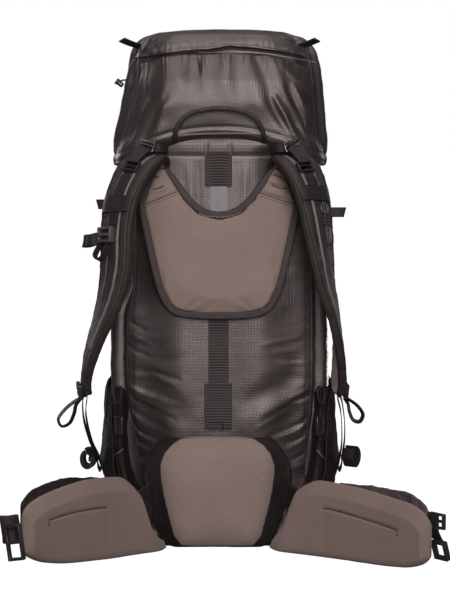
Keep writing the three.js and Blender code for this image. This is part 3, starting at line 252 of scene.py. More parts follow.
def clothPaint(name, dark, light, pitch, mottle, rough, depth, shine, lines):
    paint, tree, shader, coords = startPaint(name, **{
        "Specular IOR Level": shine, "Specular Tint": (1, 0.87, 0.88, 1)})
    cloth = node(tree, "Group", {
        "Cloth": coords["UV"], "Place": coords["Object"], "Pitch": pitch, "Mottle": mottle},
        node_tree=clothGroup).outputs
    body = blend(tree, spread(tree, cloth["Tone"], 0, 1), dark, light)
    base = blend(tree, calc(tree, "MULTIPLY", cloth["Grid"], lines), body, [1.7 * part for part in light])
    height = calc(tree, "ADD", calc(tree, "MULTIPLY", cloth["Weave"], 0.35), cloth["Grid"])
    dress(tree, shader, base, spread(tree, cloth["Tone"], rough - 0.06, rough + 0.06), height, depth)
    return paint


def webbingPaint(name, dark, light, rib, cord, rough, depth):
    paint, tree, shader, coords = startPaint(name, **{"Specular IOR Level": 0.22})
    ribs = node(tree, "Group", {
        "Cloth": coords["UV"], "Place": coords["Object"], "Rib": rib, "Cord": cord}, node_tree=ribGroup).outputs
    raised = calc(tree, "ADD", ribs["Rib"], calc(tree, "MULTIPLY", ribs["Cord"], 0.5))
    base = blend(tree, calc(tree, "MULTIPLY", raised, ribs["Tone"]), dark, light)
    dress(tree, shader, base, spread(tree, ribs["Tone"], rough - 0.08, rough + 0.08), raised, depth)
    return paint


def padPaint(name, dark, light, fibre, patch, depth):
    paint, tree, shader, coords = startPaint(name, **{
        "Sheen Weight": 0.12, "Sheen Roughness": 0.6, "Specular IOR Level": 0.15})
    fleece = node(tree, "Group", {
        "Place": coords["Object"], "Fibre": fibre, "Patch": patch}, node_tree=fleeceGroup).outputs
    tone = calc(tree, "ADD", calc(tree, "MULTIPLY", fleece["Fibre"], 0.55),
                calc(tree, "MULTIPLY", fleece["Patch"], 0.45))
    height = calc(tree, "ADD", fleece["Fibre"], calc(tree, "MULTIPLY", fleece["Knit"], 0.6))
    base = blend(tree, spread(tree, tone, 0, 1), dark, light)
    dress(tree, shader, base, spread(tree, fleece["Fibre"], 0.8, 0.97), height, depth)
    return paint


def mouldedPaint(name, dark, light, rough, grain, depth, metal=0.0, brushed=(1, 1, 1)):
    paint, tree, shader, coords = startPaint(name, **{"Metallic": metal, "Specular IOR Level": 0.55})
    place = node(tree, "Mapping", {"Vector": coords["Object"], "Scale": brushed}).outputs[0]
    fine = noiseAt(tree, place, grain, 3.0, 0.6)
    base = blend(tree, spread(tree, fine, 0, 1), dark, light)
    dress(tree, shader, base, spread(tree, fine, rough - 0.07, rough + 0.07), fine, depth)
    return paint


# Modelling helpers
def deselect():
    if bpy.context.object is not None and bpy.context.object.mode != "OBJECT":
        bpy.ops.object.mode_set(mode="OBJECT")
    bpy.ops.object.select_all(action="DESELECT")


def pick(obj):
    deselect()
    obj.select_set(True)
    bpy.context.view_layer.objects.active = obj


# One value of every item of a mesh, in rows of the given width.
def readAll(items, name, width=1, kind=np.float32):
    flat = np.empty(width * len(items), kind)
    items.foreach_get(name, flat)
    return flat.reshape(-1, width) if width > 1 else flat


def coordsOf(obj):
    return readAll(obj.data.vertices, "co", 3).astype(float)


def normalsOf(obj):
    return readAll(obj.data.vertices, "normal", 3).astype(float)


def setCoords(obj, points):
    obj.data.vertices.foreach_set("co", np.asarray(points, np.float32).ravel())
    obj.data.update()


# How far each point faces the harness side, from 0 at low to 1 at high.
def facing(obj, low, high):
    return easeIn(-normalsOf(obj)[:, 1], low, high)


def modify(obj, kind, **values):
    pick(obj)
    made = obj.modifiers.new(kind.lower(), kind)
    for name, value in values.items():
        setattr(made, name, value)
    bpy.ops.object.modifier_apply(modifier=made.name)


def smoothShade(obj, angle=None):
    pick(obj)
    if angle is None:
        bpy.ops.object.shade_smooth()
    else:
        bpy.ops.object.shade_smooth_by_angle(angle=math.radians(angle))


# Runs mesh operators on the whole of a piece.
def inEdit(obj, *steps):
    pick(obj)
    bpy.ops.object.mode_set(mode="EDIT")
    bpy.ops.mesh.select_all(action="SELECT")
    for step, values in steps:
        step(**values)
    bpy.ops.object.mode_set(mode="OBJECT")


def faceOut(obj):
    inEdit(obj, (bpy.ops.mesh.remove_doubles, {"threshold": 0.00002}),
           (bpy.ops.mesh.normals_make_consistent, {"inside": False}))


def toQuads(obj, *steps):
    inEdit(obj, (bpy.ops.mesh.tris_convert_to_quads, {"face_threshold": 1.2, "shape_threshold": 3.0}), *steps)


def bevel(obj, width, segments, angle):
    modify(obj, "BEVEL", width=width * mm, segments=segments, limit_method="ANGLE", angle_limit=math.radians(angle))


def remesh(obj, voxel, rounds):
    pick(obj)
    obj.data.remesh_voxel_size = voxel * mm
    bpy.ops.object.voxel_remesh()
    modify(obj, "SMOOTH", factor=0.5, iterations=rounds)


# Gives a laid sheet its thickness.
def solidify(obj, thick, rounds=0):
    faceOut(obj)
    if rounds:
        modify(obj, "SMOOTH", factor=0.5, iterations=rounds)
    modify(obj, "SOLIDIFY", thickness=thick * mm, offset=0)
    faceOut(obj)


# Lays the cloth's own measure on a piece: u and v in metres at each vertex.
def measure(obj, u, v, girth=0.0):
    mesh = obj.data
    corners = readAll(mesh.loops, "vertex_index", 1, np.int32)
    us, vs = np.asarray(u, float)[corners], np.asarray(v, float)[corners]
    if girth:  # the faces that close the ring
        starts, counts = (readAll(mesh.polygons, name, 1, np.int32) for name in ("loop_start", "loop_total"))
        most = np.repeat(np.maximum.reduceat(us, starts), counts)
        us = np.where(most - us > girth / 2, us + girth, us)
    layer = mesh.uv_layers.active or mesh.uv_layers.new(name="cloth")
    layer.data.foreach_set("uv", np.stack([us, vs], axis=-1).astype(np.float32).ravel())


def finishPiece(obj, name, paints, replaces=()):
    obj.name = name
    obj.data.name = name
    if not isinstance(paints, (list, tuple)):
        paints = [paints]
    obj.data.materials.clear()
    for paint in paints:
        obj.data.materials.append(paint)
    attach(obj, "root")
    if replaces:
        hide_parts(*replaces)
    return obj


# A grid laid where place(u, v) says, with u across and v along from 0 to 1.
def laidGrid(across, along, place, width, length):
    deselect()
    bpy.ops.mesh.primitive_grid_add(x_subdivisions=across, y_subdivisions=along, size=1)
    obj = bpy.context.object
    flat = coordsOf(obj)
    u, v = flat[:, 0] + 0.5, flat[:, 1] + 0.5
    setCoords(obj, place(u, v))
    measure(obj, u * width, v * length)
    return obj


def rowsOf(cuts):
    return math.prod(cut + 1 for cut in cuts)


# The length passed along a line of points, from 0 at its start.
def runOf(points):
    return np.concatenate([[0], np.cumsum(np.linalg.norm(np.diff(points, axis=0), axis=1))])


# A tube laid where place(turn, v) says, with turn round it and v along it from 0 to 1.
def laidTube(around, cuts, place, girth, length, passed=(0, 1)):
    deselect()
    bpy.ops.mesh.primitive_cylinder_add(vertices=around, radius=1, depth=1, end_fill_type="TRIFAN")
    obj = bpy.context.object
    bpy.context.tool_settings.mesh_select_mode = (False, True, False)
    for cut in cuts:
        bpy.ops.object.mode_set(mode="EDIT")
        bpy.ops.mesh.select_all(action="DESELECT")
        bpy.ops.object.mode_set(mode="OBJECT")
        heights = coordsOf(obj)[:, 2]
        ends = readAll(obj.data.edges, "vertices", 2, np.int32)
        rise = np.abs(heights[ends[:, 0]] - heights[ends[:, 1]])
        obj.data.edges.foreach_set("select", rise > 1e-4)
        bpy.ops.object.mode_set(mode="EDIT")
        bpy.ops.mesh.subdivide(number_cuts=cut)
        bpy.ops.object.mode_set(mode="OBJECT")
    flat = coordsOf(obj)
    v = flat[:, 2] + 0.5
    turn = (np.arctan2(flat[:, 1], flat[:, 0]) / (2 * math.pi)) % 1
    turn[turn > 1 - 1e-5] = 0
    middle = np.hypot(flat[:, 0], flat[:, 1]) < 0.5
    points = place(turn, v)
    for end in (0, 1):
        ring = ~middle & (np.abs(v - end) < 1e-4)
        points[middle & (np.abs(v - end) < 1e-4)] = points[ring].mean(axis=0)
    setCoords(obj, points)
    measure(obj, np.interp(turn, np.linspace(0, 1, len(passed)), passed) * girth, v * length, girth)
    return obj


# Smooth curve through points, evenly numbered from 0 to 1, and the direction along it.
def curveAt(points, at, closed=False):
    points = np.asarray(points, float)
    at = np.asarray(at, float)
    count = len(points)
    if closed:
        place = (at % 1) * count
        first = np.floor(place).astype(int)
        near = [points[(first + k) % count] for k in (-1, 0, 1, 2)]
    else:
        wide = np.vstack([2 * points[0] - points[1], points, 2 * points[-1] - points[-2]])
        place = np.clip(at, 0, 1) * (count - 1)
        first = np.clip(np.floor(place).astype(int), 0, count - 2)
        near = [wide[first + k] for k in (0, 1, 2, 3)]
    w = (place - first)[..., None]
    gap = [np.linalg.norm(near[k + 1] - near[k], axis=-1, keepdims=True) for k in range(3)]
    gap = [np.sqrt(np.maximum(part, 1e-4)) for part in gap]

    def slope(k):
        before, after = near[k + 1] - near[k], near[k + 2] - near[k + 1]
        return (before / gap[k] - (before + after) / (gap[k] + gap[k + 1]) + after / gap[k + 1]) * gap[1]

    leave, enter = slope(0), slope(1)
    rise = near[2] - near[1]
    return near[1] + w * leave + w ** 2 * (3 * rise - 2 * leave - enter) + w ** 3 * (leave + enter - 2 * rise)


def unit(vectors):
    return vectors / np.maximum(np.linalg.norm(vectors, axis=-1, keepdims=True), 1e-12)


def heading(points, at, closed=False):
    step = 0.001
    if closed:
        return unit(curveAt(points, at + step, True) - curveAt(points, at - step, True))
    return unit(curveAt(points, np.minimum(at + step, 1)) - curveAt(points, np.maximum(at - step, 0)))


# A value between the rows of a table, without overshoot.
def between(values, at):
    values = np.asarray(values, float)
    place = np.clip(at, 0, 1) * (len(values) - 1)
    secant = np.diff(values)
    slope = np.concatenate([[secant[0]], np.zeros(len(values) - 2), [secant[-1]]])
    product = secant[:-1] * secant[1:]
    both = np.where(product > 0, secant[:-1] + secant[1:], 1)
    slope[1:-1] = np.where(product > 0, 2 * product / both, 0)
    i = np.clip(np.floor(place).astype(int), 0, len(values) - 2)
    t = place - i
    rise = t * t * (3 - 2 * t)
    return (values[i] * (1 - rise) + values[i + 1] * rise
            + t * (1 - t) ** 2 * slope[i] + t * t * (t - 1) * slope[i + 1])


def easeIn(value, low, high):
    t = np.clip((value - low) / (high - low), 0, 1)
    return t * t * (3 - 2 * t)


# 1 between two heights, fading to 0 below and above them.
def window(value, low, lowIn, highIn, high):
    return easeIn(value, low, lowIn) * (1 - easeIn(value, highIn, high))


# Noise at each point, in layers: millimetres, stretch along x, y and z per metre, detail, and shift in metres.
def ripple(points, layers):
    total = np.zeros(len(points))
    for out, stretch, detail, shift in layers:
        scaled = (points + shift) * np.asarray(stretch, float)
        total += out * np.array([noise.fractal(Vector(p), 1.0, 2.1, detail) for p in scaled])
    return total


# Folds seen in the picture: each runs between two places in it, stands out by some millimetres and is
# some picture points wide, and fades out at its ends. A negative height is a crease.
def foldsAt(points, folds):
    across, down = seenAt(points)
    height = np.zeros(len(points))
    for x0, y0, x1, y1, out, wide in folds:
        length = max(math.hypot(x1 - x0, y1 - y0), 1e-6)
        alongX, alongY = (x1 - x0) / length, (y1 - y0) / length
        run = (across - x0) * alongX + (down - y0) * alongY
        off = np.abs((down - y0) * alongX - (across - x0) * alongY)
        part = np.clip(run / length, 0, 1)
        past = np.abs(run - part * length)
        fade = np.sqrt(np.clip(4 * part * (1 - part), 0, 1)) * 0.75 + 0.25
        height += out * fade * np.exp(-(off / wide) ** 2 - (past / wide) ** 2)
    return height


def pushOut(obj, distance):
    setCoords(obj, coordsOf(obj) + normalsOf(obj) * (np.asarray(distance) * mm)[:, None])


def soften(field, rows, columns):
    for axis, sigma in ((0, rows), (1, columns)):
        reach = int(3 * sigma) + 1
        weights = np.exp(-0.5 * (np.arange(-reach, reach + 1) / sigma) ** 2)
        weights /= weights.sum()
        pad = [(0, 0)] * field.ndim
        pad[axis] = (reach, reach)
        wide = np.pad(field, pad, mode="wrap" if axis == 1 else "edge")
        spans = (np.arange(k, k + field.shape[axis]) for k in range(len(weights)))
        field = sum(w * np.take(wide, span, axis=axis) for w, span in zip(weights, spans))
    return field


# Takes the facets off a skin without letting its corners shrink.
def unfacet(field, rows, columns):
    once = soften(field, rows, columns)
    return once + (once - soften(once, rows, columns))


def treeOf(obj):
    mesh = obj.data
    return BVHTree.FromPolygons([v.co for v in mesh.vertices], [tuple(p.vertices) for p in mesh.polygons])


# Angles round an upright axis that cut a ring of the node into lengths, shorter on the harness side, the part
# of the ring passed at each of them, and the ring's length.
def ringAngles(tree, axis, count, closer):
    rough = np.linspace(0, 2 * math.pi, 1441)
    ring = np.array([castIn(tree, axis, angle, 0.0) for angle in rough])
    steps = np.linalg.norm(np.diff(ring, axis=0), axis=1)
    weight = steps * (1 + closer * easeIn(-np.sin((rough[1:] + rough[:-1]) / 2), 0.0, 0.35))
    run, weighted = (np.concatenate([[0], np.cumsum(part)]) for part in (steps, weight))
    numbers = np.arange(len(rough))
    at = np.interp(np.arange(count + 1) / count * weighted[-1], weighted, numbers)
    return np.interp(at[:-1], numbers, rough), np.interp(at, numbers, run / run[-1]), run[-1]


# Carries the back of a piece on to the bag that it is sewn to, as a skirt.
def reachBack(obj, most):
    tree = treeOf(bpy.data.objects["bag_body"])
    points, backward = coordsOf(obj), normalsOf(obj)[:, 1] > 0.3
    for i in np.nonzero(backward)[0]:
        hit = tree.ray_cast(Vector(points[i]) - Vector((0, 0.2, 0)), Vector((0, 1, 0)))[0]
        if hit is not None and hit.y - points[i, 1] < most * mm:
            points[i, 1] = max(points[i, 1], hit.y + 1 * mm)
    setCoords(obj, points)


# Metres that are past every part of the pack.
beyond = 0.7


# The outermost point of a node in a direction from a point inside it.
def castIn(tree, centre, turn, lift):
    away = Vector((math.cos(turn) * math.cos(lift), math.sin(turn) * math.cos(lift), math.sin(lift)))
    hit = tree.ray_cast(Vector(centre) + away * beyond, -away, beyond)[0]
    return None if hit is None else np.array(hit)


clothGroup, ribGroup, fleeceGroup = makeClothGroup(), makeRibGroup(), makeFleeceGroup()
ripstop = clothPaint("ripstop nylon", (0.0140, 0.0104, 0.0104), (0.0225, 0.0172, 0.0172),
                     pitch=0.0042, mottle=9.0, rough=0.43, depth=0.0001, shine=0.85, lines=0.2)
packcloth = clothPaint("black packcloth", (0.008, 0.0060, 0.0060), (0.014, 0.0108, 0.0108),
                       pitch=0.0021, mottle=14.0, rough=0.58, depth=0.0002, shine=0.25, lines=0.1)
surroundCloth = clothPaint("surround cloth", (0.012, 0.0091, 0.0091), (0.022, 0.0170, 0.0170),
                           pitch=0.0024, mottle=14.0, rough=0.52, depth=0.0002, shine=0.4, lines=0.1)
# A lighter copy of the black packcloth, for the right hip pouch only: painted light from the lamps on the right.
litPouchCloth = clothPaint("pouch cloth painted light", (0.034, 0.0267, 0.0267), (0.064, 0.0525, 0.0525),
                        pitch=0.0021, mottle=16.0, rough=0.5, depth=0.0002, shine=0.5, lines=0.1)
strapCloth = clothPaint("strap cloth", (0.019, 0.0147, 0.0147), (0.032, 0.0252, 0.0252),
                        pitch=0.0026, mottle=20.0, rough=0.5, depth=0.0002, shine=0.4, lines=0.15)
binding = webbingPaint("binding tape", (0.012, 0.0086, 0.0083), (0.038, 0.0284, 0.0275),
                       rib=0.0022, cord=0.0011, rough=0.6, depth=0.00015)
webbing = webbingPaint("black webbing", (0.009, 0.0069, 0.0069), (0.039, 0.0310, 0.0310),
                       rib=0.0021, cord=0.0014, rough=0.52, depth=0.00022)
elastic = webbingPaint("ribbed webbing", (0.014, 0.0110, 0.0110), (0.072, 0.0585, 0.0585),
                       rib=0.0040, cord=0.0015, rough=0.55, depth=0.0003)
greyPiping = webbingPaint("grey piping", (0.08, 0.074, 0.073), (0.16, 0.15, 0.147),
                          rib=0.0016, cord=0.0012, rough=0.45, depth=0.0001)
taupe = padPaint("taupe pad fabric", (0.165, 0.119, 0.106), (0.211, 0.157, 0.142),
                 fibre=900.0, patch=14.0, depth=0.00022)
# A darker copy of the taupe pad fabric for the fins: painted shade, for the fins turned away from the light.
shadedFinTaupe = padPaint("taupe fin fabric painted shade", (0.134, 0.094, 0.085), (0.172, 0.124, 0.114),
                    fibre=900.0, patch=14.0, depth=0.00022)
plastic = mouldedPaint("black nylon plastic", (0.012, 0.0112, 0.0112), (0.021, 0.0198, 0.0198),
                       rough=0.24, grain=700.0, depth=0.00004)
# Grey in place of the bright highlights on black plastic: painted highlight, for the sternum buckle, clip and ring.
highlightGreyPlastic = mouldedPaint("grey plastic painted highlight", (0.040, 0.0355, 0.0355), (0.070, 0.0625, 0.0625),
                           rough=0.32, grain=700.0, depth=0.00004)
aluminium = mouldedPaint("brushed aluminium", (0.060, 0.058, 0.0585), (0.092, 0.089, 0.090),
                         rough=0.46, grain=260.0, depth=0.00003, metal=1.0, brushed=(6, 6, 0.25))
thread = mouldedPaint("pale thread", (0.30, 0.285, 0.28), (0.42, 0.40, 0.395),
                      rough=0.6, grain=1500.0, depth=0.00003)
darkThread = mouldedPaint("dark thread", (0.014, 0.010, 0.009), (0.026, 0.020, 0.018),
                          rough=0.6, grain=1500.0, depth=0.00003)
sheenOn = bpy.data.collections.new("side sheen")
makeStudio()

# The bag: a sewn tube of ripstop drawn over the solid, with the creases that its load pulls into it.
bag = {
    "around": 320, "cuts": (13, 16), "closer": 2.2, "axisY": 130, "ringZ": 300, "top": 692, "rim": 0.6,
    "soften": (4.0, 3.4), "lobe": (54, 34, 4.0), "lobeZ": (150, 200, 360, 470),
    "round": (52, 150, -17), "roundZ": (30, 120), "tuck": (60, 130, 105, 260, -25, -9),
    "cornerSeam": (146, 1.4, -0.3, -1.1), "free": (12, 40, 660, 690),
    "crumple": [(1.1, (14, 14, 34), 2, 0), (0.25, (40, 40, 70), 2, 3)], "flatBack": (60, 110, 0.65),
    "creases": [(0.9, (11, 11, 62), 3, 7)], "looseX": (30, 110), "looseZ": ((270, 370), (220, 320)),
    "foldPart": 0.52,
    "hollows": [(-1, 84, 128, -15, 345, 400, 530, 560), (1, 38, 100, -11, 500, 535, 590, 606)],
    "folds": [
        (160, 136, 284, 136, -2.8, 2.2), (163, 156, 282, 156, -3.4, 1.7), (207, 141, 206, 155, -2.4, 2),
        (230, 141, 231, 155, -2.4, 2), (188, 163, 192, 206, 2.2, 4), (198, 160, 199, 212, -1.8, 3),
        (246, 163, 243, 204, 2, 4), (152, 372, 181, 380, -3, 1.6), (156, 379, 176, 386, 2, 2),
        (122, 386, 172, 406, 2.5, 3), (126, 398, 176, 420, -3, 2.4), (124, 414, 164, 434, 3, 2.6),
        (122, 424, 160, 441, -3.6, 2.0), (124, 432, 154, 444, 2.5, 1.8), (122, 441, 152, 449, -4, 1.8),
        (122, 449, 150, 452, 3, 2), (120, 458, 148, 462, -4, 2.2), (122, 464, 146, 472, 3, 2),
        (125, 322, 145, 330, -2, 1.8), (128, 336, 152, 345, 1.6, 2.0), (124, 348, 150, 357, -2, 1.8),
        (140, 392, 180, 405, 1.8, 2.0), (128, 407, 170, 427, 2, 1.6), (262, 345, 300, 338, 2, 2.2),
        (274, 352, 298, 352, 2, 1.8), (272, 359, 300, 361, -2, 1.8), (283, 365, 312, 365, 2, 1.6),
        (262, 420, 314, 396, -3, 2.2), (290, 398, 314, 389, 2.4, 1.8), (285, 408, 314, 401, 2.4, 1.8),
        (267, 438, 312, 418, -3.4, 2.2), (280, 437, 312, 426, 3, 2.0), (288, 450, 313, 440, 3, 1.8),
        (286, 444, 308, 438, -3, 1.6), (290, 462, 313, 455, -4, 2), (292, 470, 316, 466, 2.6, 2),
        (256, 428, 290, 414, 1.6, 1.6),
    ],
}


def makeBag():
    tree = treeOf(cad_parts["main_bag"])
    rows, columns = rowsOf(bag["cuts"]), bag["around"]
    angles, passed, girth = ringAngles(tree, spot(0, bag["axisY"], bag["ringZ"]), columns, bag["closer"])
    heights = np.linspace(0, bag["top"], rows + 1)
    reach = np.empty((rows + 1, columns))
    for i, height in enumerate(np.clip(heights, bag["rim"], bag["top"] - bag["rim"])):
        axis = spot(0, bag["axisY"], height)
        for j, angle in enumerate(angles):
            reach[i, j] = np.linalg.norm(castIn(tree, axis, angle, 0.0) - axis)
    reach = unfacet(reach, *bag["soften"])

    def place(turn, v):
        i, j = np.rint(v * rows).astype(int), np.rint(turn * columns).astype(int) % columns
        away = np.stack([np.cos(angles[j]), np.sin(angles[j]), 0 * v], axis=-1)
        return spot(0, bag["axisY"], heights[i]) + away * reach[i, j][:, None]

    obj = laidTube(columns, bag["cuts"], place, girth, bag["top"] * mm, passed)
    faceOut(obj)
    points, front = coordsOf(obj), facing(obj, 0.15, 0.6)
    x, z = (points[:, 0] - drawnFrom[0]) / mm, points[:, 2] / mm
    out = np.abs(x)
    at, wide, most = bag["lobe"]
    shape = most * np.exp(-((out - at) / wide) ** 2) * window(z, *bag["lobeZ"])
    start, end, most = bag["round"]
    shape += most * easeIn(out, start, end) * easeIn(z, *bag["roundZ"])
    start, end, low, high, left, right = bag["tuck"]
    shape += np.where(x < 0, left, right) * easeIn(out, start, end) * (1 - easeIn(z, low, high))
    for sign, start, end, most, *upright in bag["hollows"]:
        shape += most * easeIn(sign * x, start, end) * window(z, *upright)
    shape += bag["foldPart"] * foldsAt(points, bag["folds"])
    loose = [easeIn(sign * x, *bag["looseX"]) * (1 - easeIn(z, *span))
             for sign, span in zip((-1, 1), bag["looseZ"])]
    shape += np.maximum(*loose) * front * ripple(points, bag["creases"])
    at, wide, left, right = bag["cornerSeam"]
    seam = np.where(x < 0, left, right) * np.exp(-((out - at) / wide) ** 2) * facing(obj, 0.05, 0.2)
    start, end, calm = bag["flatBack"]
    crumple = ripple(points, bag["crumple"]) * (1 - calm * front * (1 - easeIn(out, start, end)))
    pushOut(obj, (shape * front + seam + crumple) * window(z, *bag["free"]))
    smoothShade(obj)
    finishPiece(obj, "bag_body", ripstop, ["main_bag"])
    sheenOn.objects.link(obj)
    print("bag sewn")


makeBag()

# The lid: a full cap with a gathered seam under its zip flap and a hem along its rim.
lid = {
    "around": 380, "cuts": (9, 12), "closer": 2.2, "centre": (0, 122, 655), "rim": (-60, 20), "crown": 88.6,
    "steps": 80, "soften": (2.2, 3.6), "length": 0.3, "sides": (50, 150), "round": -15, "foldPart": 0.85,
    "crumple": [(1.6, (12, 12, 26), 2, 0), (0.3, (45, 45, 60), 2, 5)],
    "hem": 0.045, "hemStitch": (1.6, 0.009), "held": (0.25, 0.03, 0.14),
    # how far its left and right sides are moved to the right, by height in the picture
    "lean": [(40, 9, 2), (68, 10.5, 4.5), (90, 8, 4.5), (115, 2, 6), (140, -4, 6), (165, -3, 4)],
    "seam": [(134, 59), (166, 53.4), (225, 52), (272, 54), (316, 62)],
    "folds": [
        (167, 92, 136, 161, -4.5, 5), (164, 103, 147, 139, 3.5, 4), (151, 95, 130, 124, -4, 4),
        (140, 78, 128, 120, -3, 4), (273, 94, 309, 160, 4.5, 2.6), (268, 98, 300, 160, -3.5, 4),
        (280, 94, 313, 152, -3, 3), (294, 80, 318, 125, 3, 3), (288, 84, 312, 130, -3, 3),
        (283, 62, 316, 95, 2.5, 4), (257, 140, 300, 163, -3, 4), (197, 60, 199, 76, -1.6, 2.0),
        (203, 59, 204, 72, 1.2, 2.5), (190, 75, 222, 128, 2.5, 14), (236, 72, 254, 128, -1.2, 9),
        (134, 66, 124, 84, -3, 3), (150, 62, 136, 92, 2.5, 4),
    ],
}


# The lid's gathers above and below its seam, at a place across the picture and some picture points below the seam.
def gathers(x, below):
    fold = np.abs((x * 0.145 + 0.4 * np.sin(x * 0.19) + 0.25 * np.sin(x * 0.07)) % 1 - 0.5) * 2
    uneven = 0.55 + 0.45 * np.sin(x * 0.31 + 1.0)
    under = 2.6 * fold ** 0.7 * np.exp(-np.maximum(below, 0) / (5 + 4 * uneven)) * easeIn(below, 0, 2)
    over = 1.6 * fold * np.exp(-np.maximum(-below - 9, 0) / 5) * easeIn(-below, 9, 12)
    return (under + over) * uneven - 3.0 * np.exp(-((below + 1.0) / 1.6) ** 2)


def makeLid():
    tree = treeOf(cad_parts["lid"])
    rows, columns = rowsOf(lid["cuts"]), lid["around"]
    centre = spot(*lid["centre"])
    angles, passed, girth = ringAngles(tree, centre, columns, lid["closer"])
    skin = np.empty((rows + 1, columns, 3))
    for j, angle in enumerate(angles):
        low, high = (math.radians(part) for part in lid["rim"])
        for _ in range(13):  # close in on the rim
            middle = (low + high) / 2
            if castIn(tree, centre, angle, middle) is None:
                low = middle
            else:
                high = middle
        lifts = np.linspace(high, math.radians(lid["crown"]), lid["steps"])
        line = np.array([castIn(tree, centre, angle, up) for up in lifts])
        run = runOf(line)
        at = np.linspace(0, run[-1], rows + 1)
        skin[:, j] = np.stack([np.interp(at, run, line[:, k]) for k in range(3)], axis=-1)
    skin = unfacet(skin, *lid["soften"])

    def place(turn, v):
        return skin[np.rint(v * rows).astype(int), np.rint(turn * columns).astype(int) % columns]

    obj = laidTube(columns, lid["cuts"], place, girth, lid["length"], passed)
    part = np.zeros(len(obj.data.vertices))  # from 0 at the rim to 1 at the crown
    corners = readAll(obj.data.loops, "vertex_index", 1, np.int32)
    part[corners] = readAll(obj.data.uv_layers.active.data, "uv", 2)[:, 1] / lid["length"]
    faceOut(obj)
    points = coordsOf(obj)
    rowY, toLeft, toRight = np.array(lid["lean"]).T
    out, y = (points[:, 0] - drawnFrom[0]) / mm, seenAt(points)[1]
    lean = np.where(out < 0, np.interp(y, rowY, toLeft), np.interp(y, rowY, toRight))
    points[:, 0] += lean * easeIn(np.abs(out), *lid["sides"]) * mm
    setCoords(obj, points)
    x, y = seenAt(points)
    seamX, seamY = np.array(lid["seam"]).T
    inSeam = (x > seamX[0]) & (x < seamX[-1])
    shape = lid["foldPart"] * foldsAt(points, lid["folds"])
    shape += np.where(inSeam, gathers(x, y - np.interp(x, seamX, seamY)), 0)
    shape += lid["round"] * easeIn(np.abs(points[:, 0] - drawnFrom[0]) / mm, *lid["sides"])
    front = facing(obj, 0.0, 0.35)
    deep, wide = lid["hemStitch"]
    hem = 1 - easeIn(part, lid["hem"] * 0.9, lid["hem"] * 1.1) - deep * np.exp(-((part - lid["hem"]) / wide) ** 2)
    least, start, end = lid["held"]
    held = least + (1 - least) * easeIn(part, start, end)
    pushOut(obj, (shape * front + ripple(points, lid["crumple"]) * (1 - 0.8 * front)) * held + hem)
    smoothShade(obj)
    finishPiece(obj, "lid_cloth", ripstop, ["lid"])
    print("lid sewn")


makeLid()


# A merged copy of a node's solid, to be worked into the soft piece.
def copyOf(name):
    obj = bpy.data.objects.new(name + "_copy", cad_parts[name].data.copy())
    bpy.context.scene.collection.objects.link(obj)
    inEdit(obj, (bpy.ops.mesh.remove_doubles, {"threshold": 0.00001}))
    return obj


# Stuffs a pad: an even skin, blown up a little as cloth over foam, and held back where it is sewn down.
def stuff(obj, pad, rounds=20):
    remesh(obj, pad["voxel"], 4)
    before = coordsOf(obj)
    held = np.zeros(len(before))
    if "sewnAt" in pad:
        atBack, atFace = (drawnFrom[1] + y * mm for y in pad["sewnAt"])
        held = easeIn(before[:, 1], atFace, atBack)
    group = obj.vertex_groups.new(name="sewn")
    for index in np.nonzero(held > 0.02)[0]:
        group.add([int(index)], float(held[index]), "REPLACE")
    cloth = obj.modifiers.new("cloth", "CLOTH")
    cloth.settings.use_pressure = True
    cloth.settings.uniform_pressure_force = pad["pressure"]
    cloth.settings.effector_weights.gravity = 0
    cloth.settings.vertex_group_mass = "sewn"
    cloth.settings.quality = 4
    for frameNumber in range(1, rounds + 1):
        bpy.context.scene.frame_set(frameNumber)
    pick(obj)
    bpy.ops.object.modifier_apply(modifier="cloth")
    bpy.context.scene.frame_set(1)
    move = coordsOf(obj) - before
    far = np.linalg.norm(move, axis=1, keepdims=True)
    setCoords(obj, before + move * np.minimum(1, pad["cap"] * mm / np.maximum(far, 1e-9)))
    obj.vertex_groups.clear()
    modify(obj, "SUBSURF", levels=1, render_levels=1)


# Yoke: the shoulder plate with its foam pad, and the tape that binds its edge.
yoke = {
    "voxel": 3.2, "pressure": 3.0, "cap": 3.5, "sewnAt": (-7.5, -12.5), "crumple": [(0.5, (30, 30, 30), 2, 0)],
    "sharp": 45, "crease": 0.55, "skirt": 60, "stand": (1.0, 0.2), "tapeCrumple": [(0.35, (160, 160, 160), 2, 0)],
    "folds": [
        (141, 182, 158, 176.5, -3.6, 1.3), (152, 190, 164, 186.3, -3.2, 1.2),
        (139, 188.5, 146, 188.5, -2.6, 1.2), (142, 205, 177, 191, -2.2, 0.9),
        (163, 183.2, 171, 180.8, -1.8, 1.0), (143, 194, 168, 187, 3.0, 2.6), (146, 177, 160, 171, 2.8, 2.6),
        (268, 173, 290, 179.5, -3.4, 1.3), (272, 185, 282, 188, -3.2, 1.2), (282, 188, 294, 188.6, -2.4, 1.1),
        (258, 192.3, 296, 203.8, -2.2, 0.9), (266, 180, 290, 185, 3.0, 2.4), (272, 170, 288, 175, 2.4, 2.2),
        (264, 190, 292, 197, 2.6, 2.4),
    ],
}


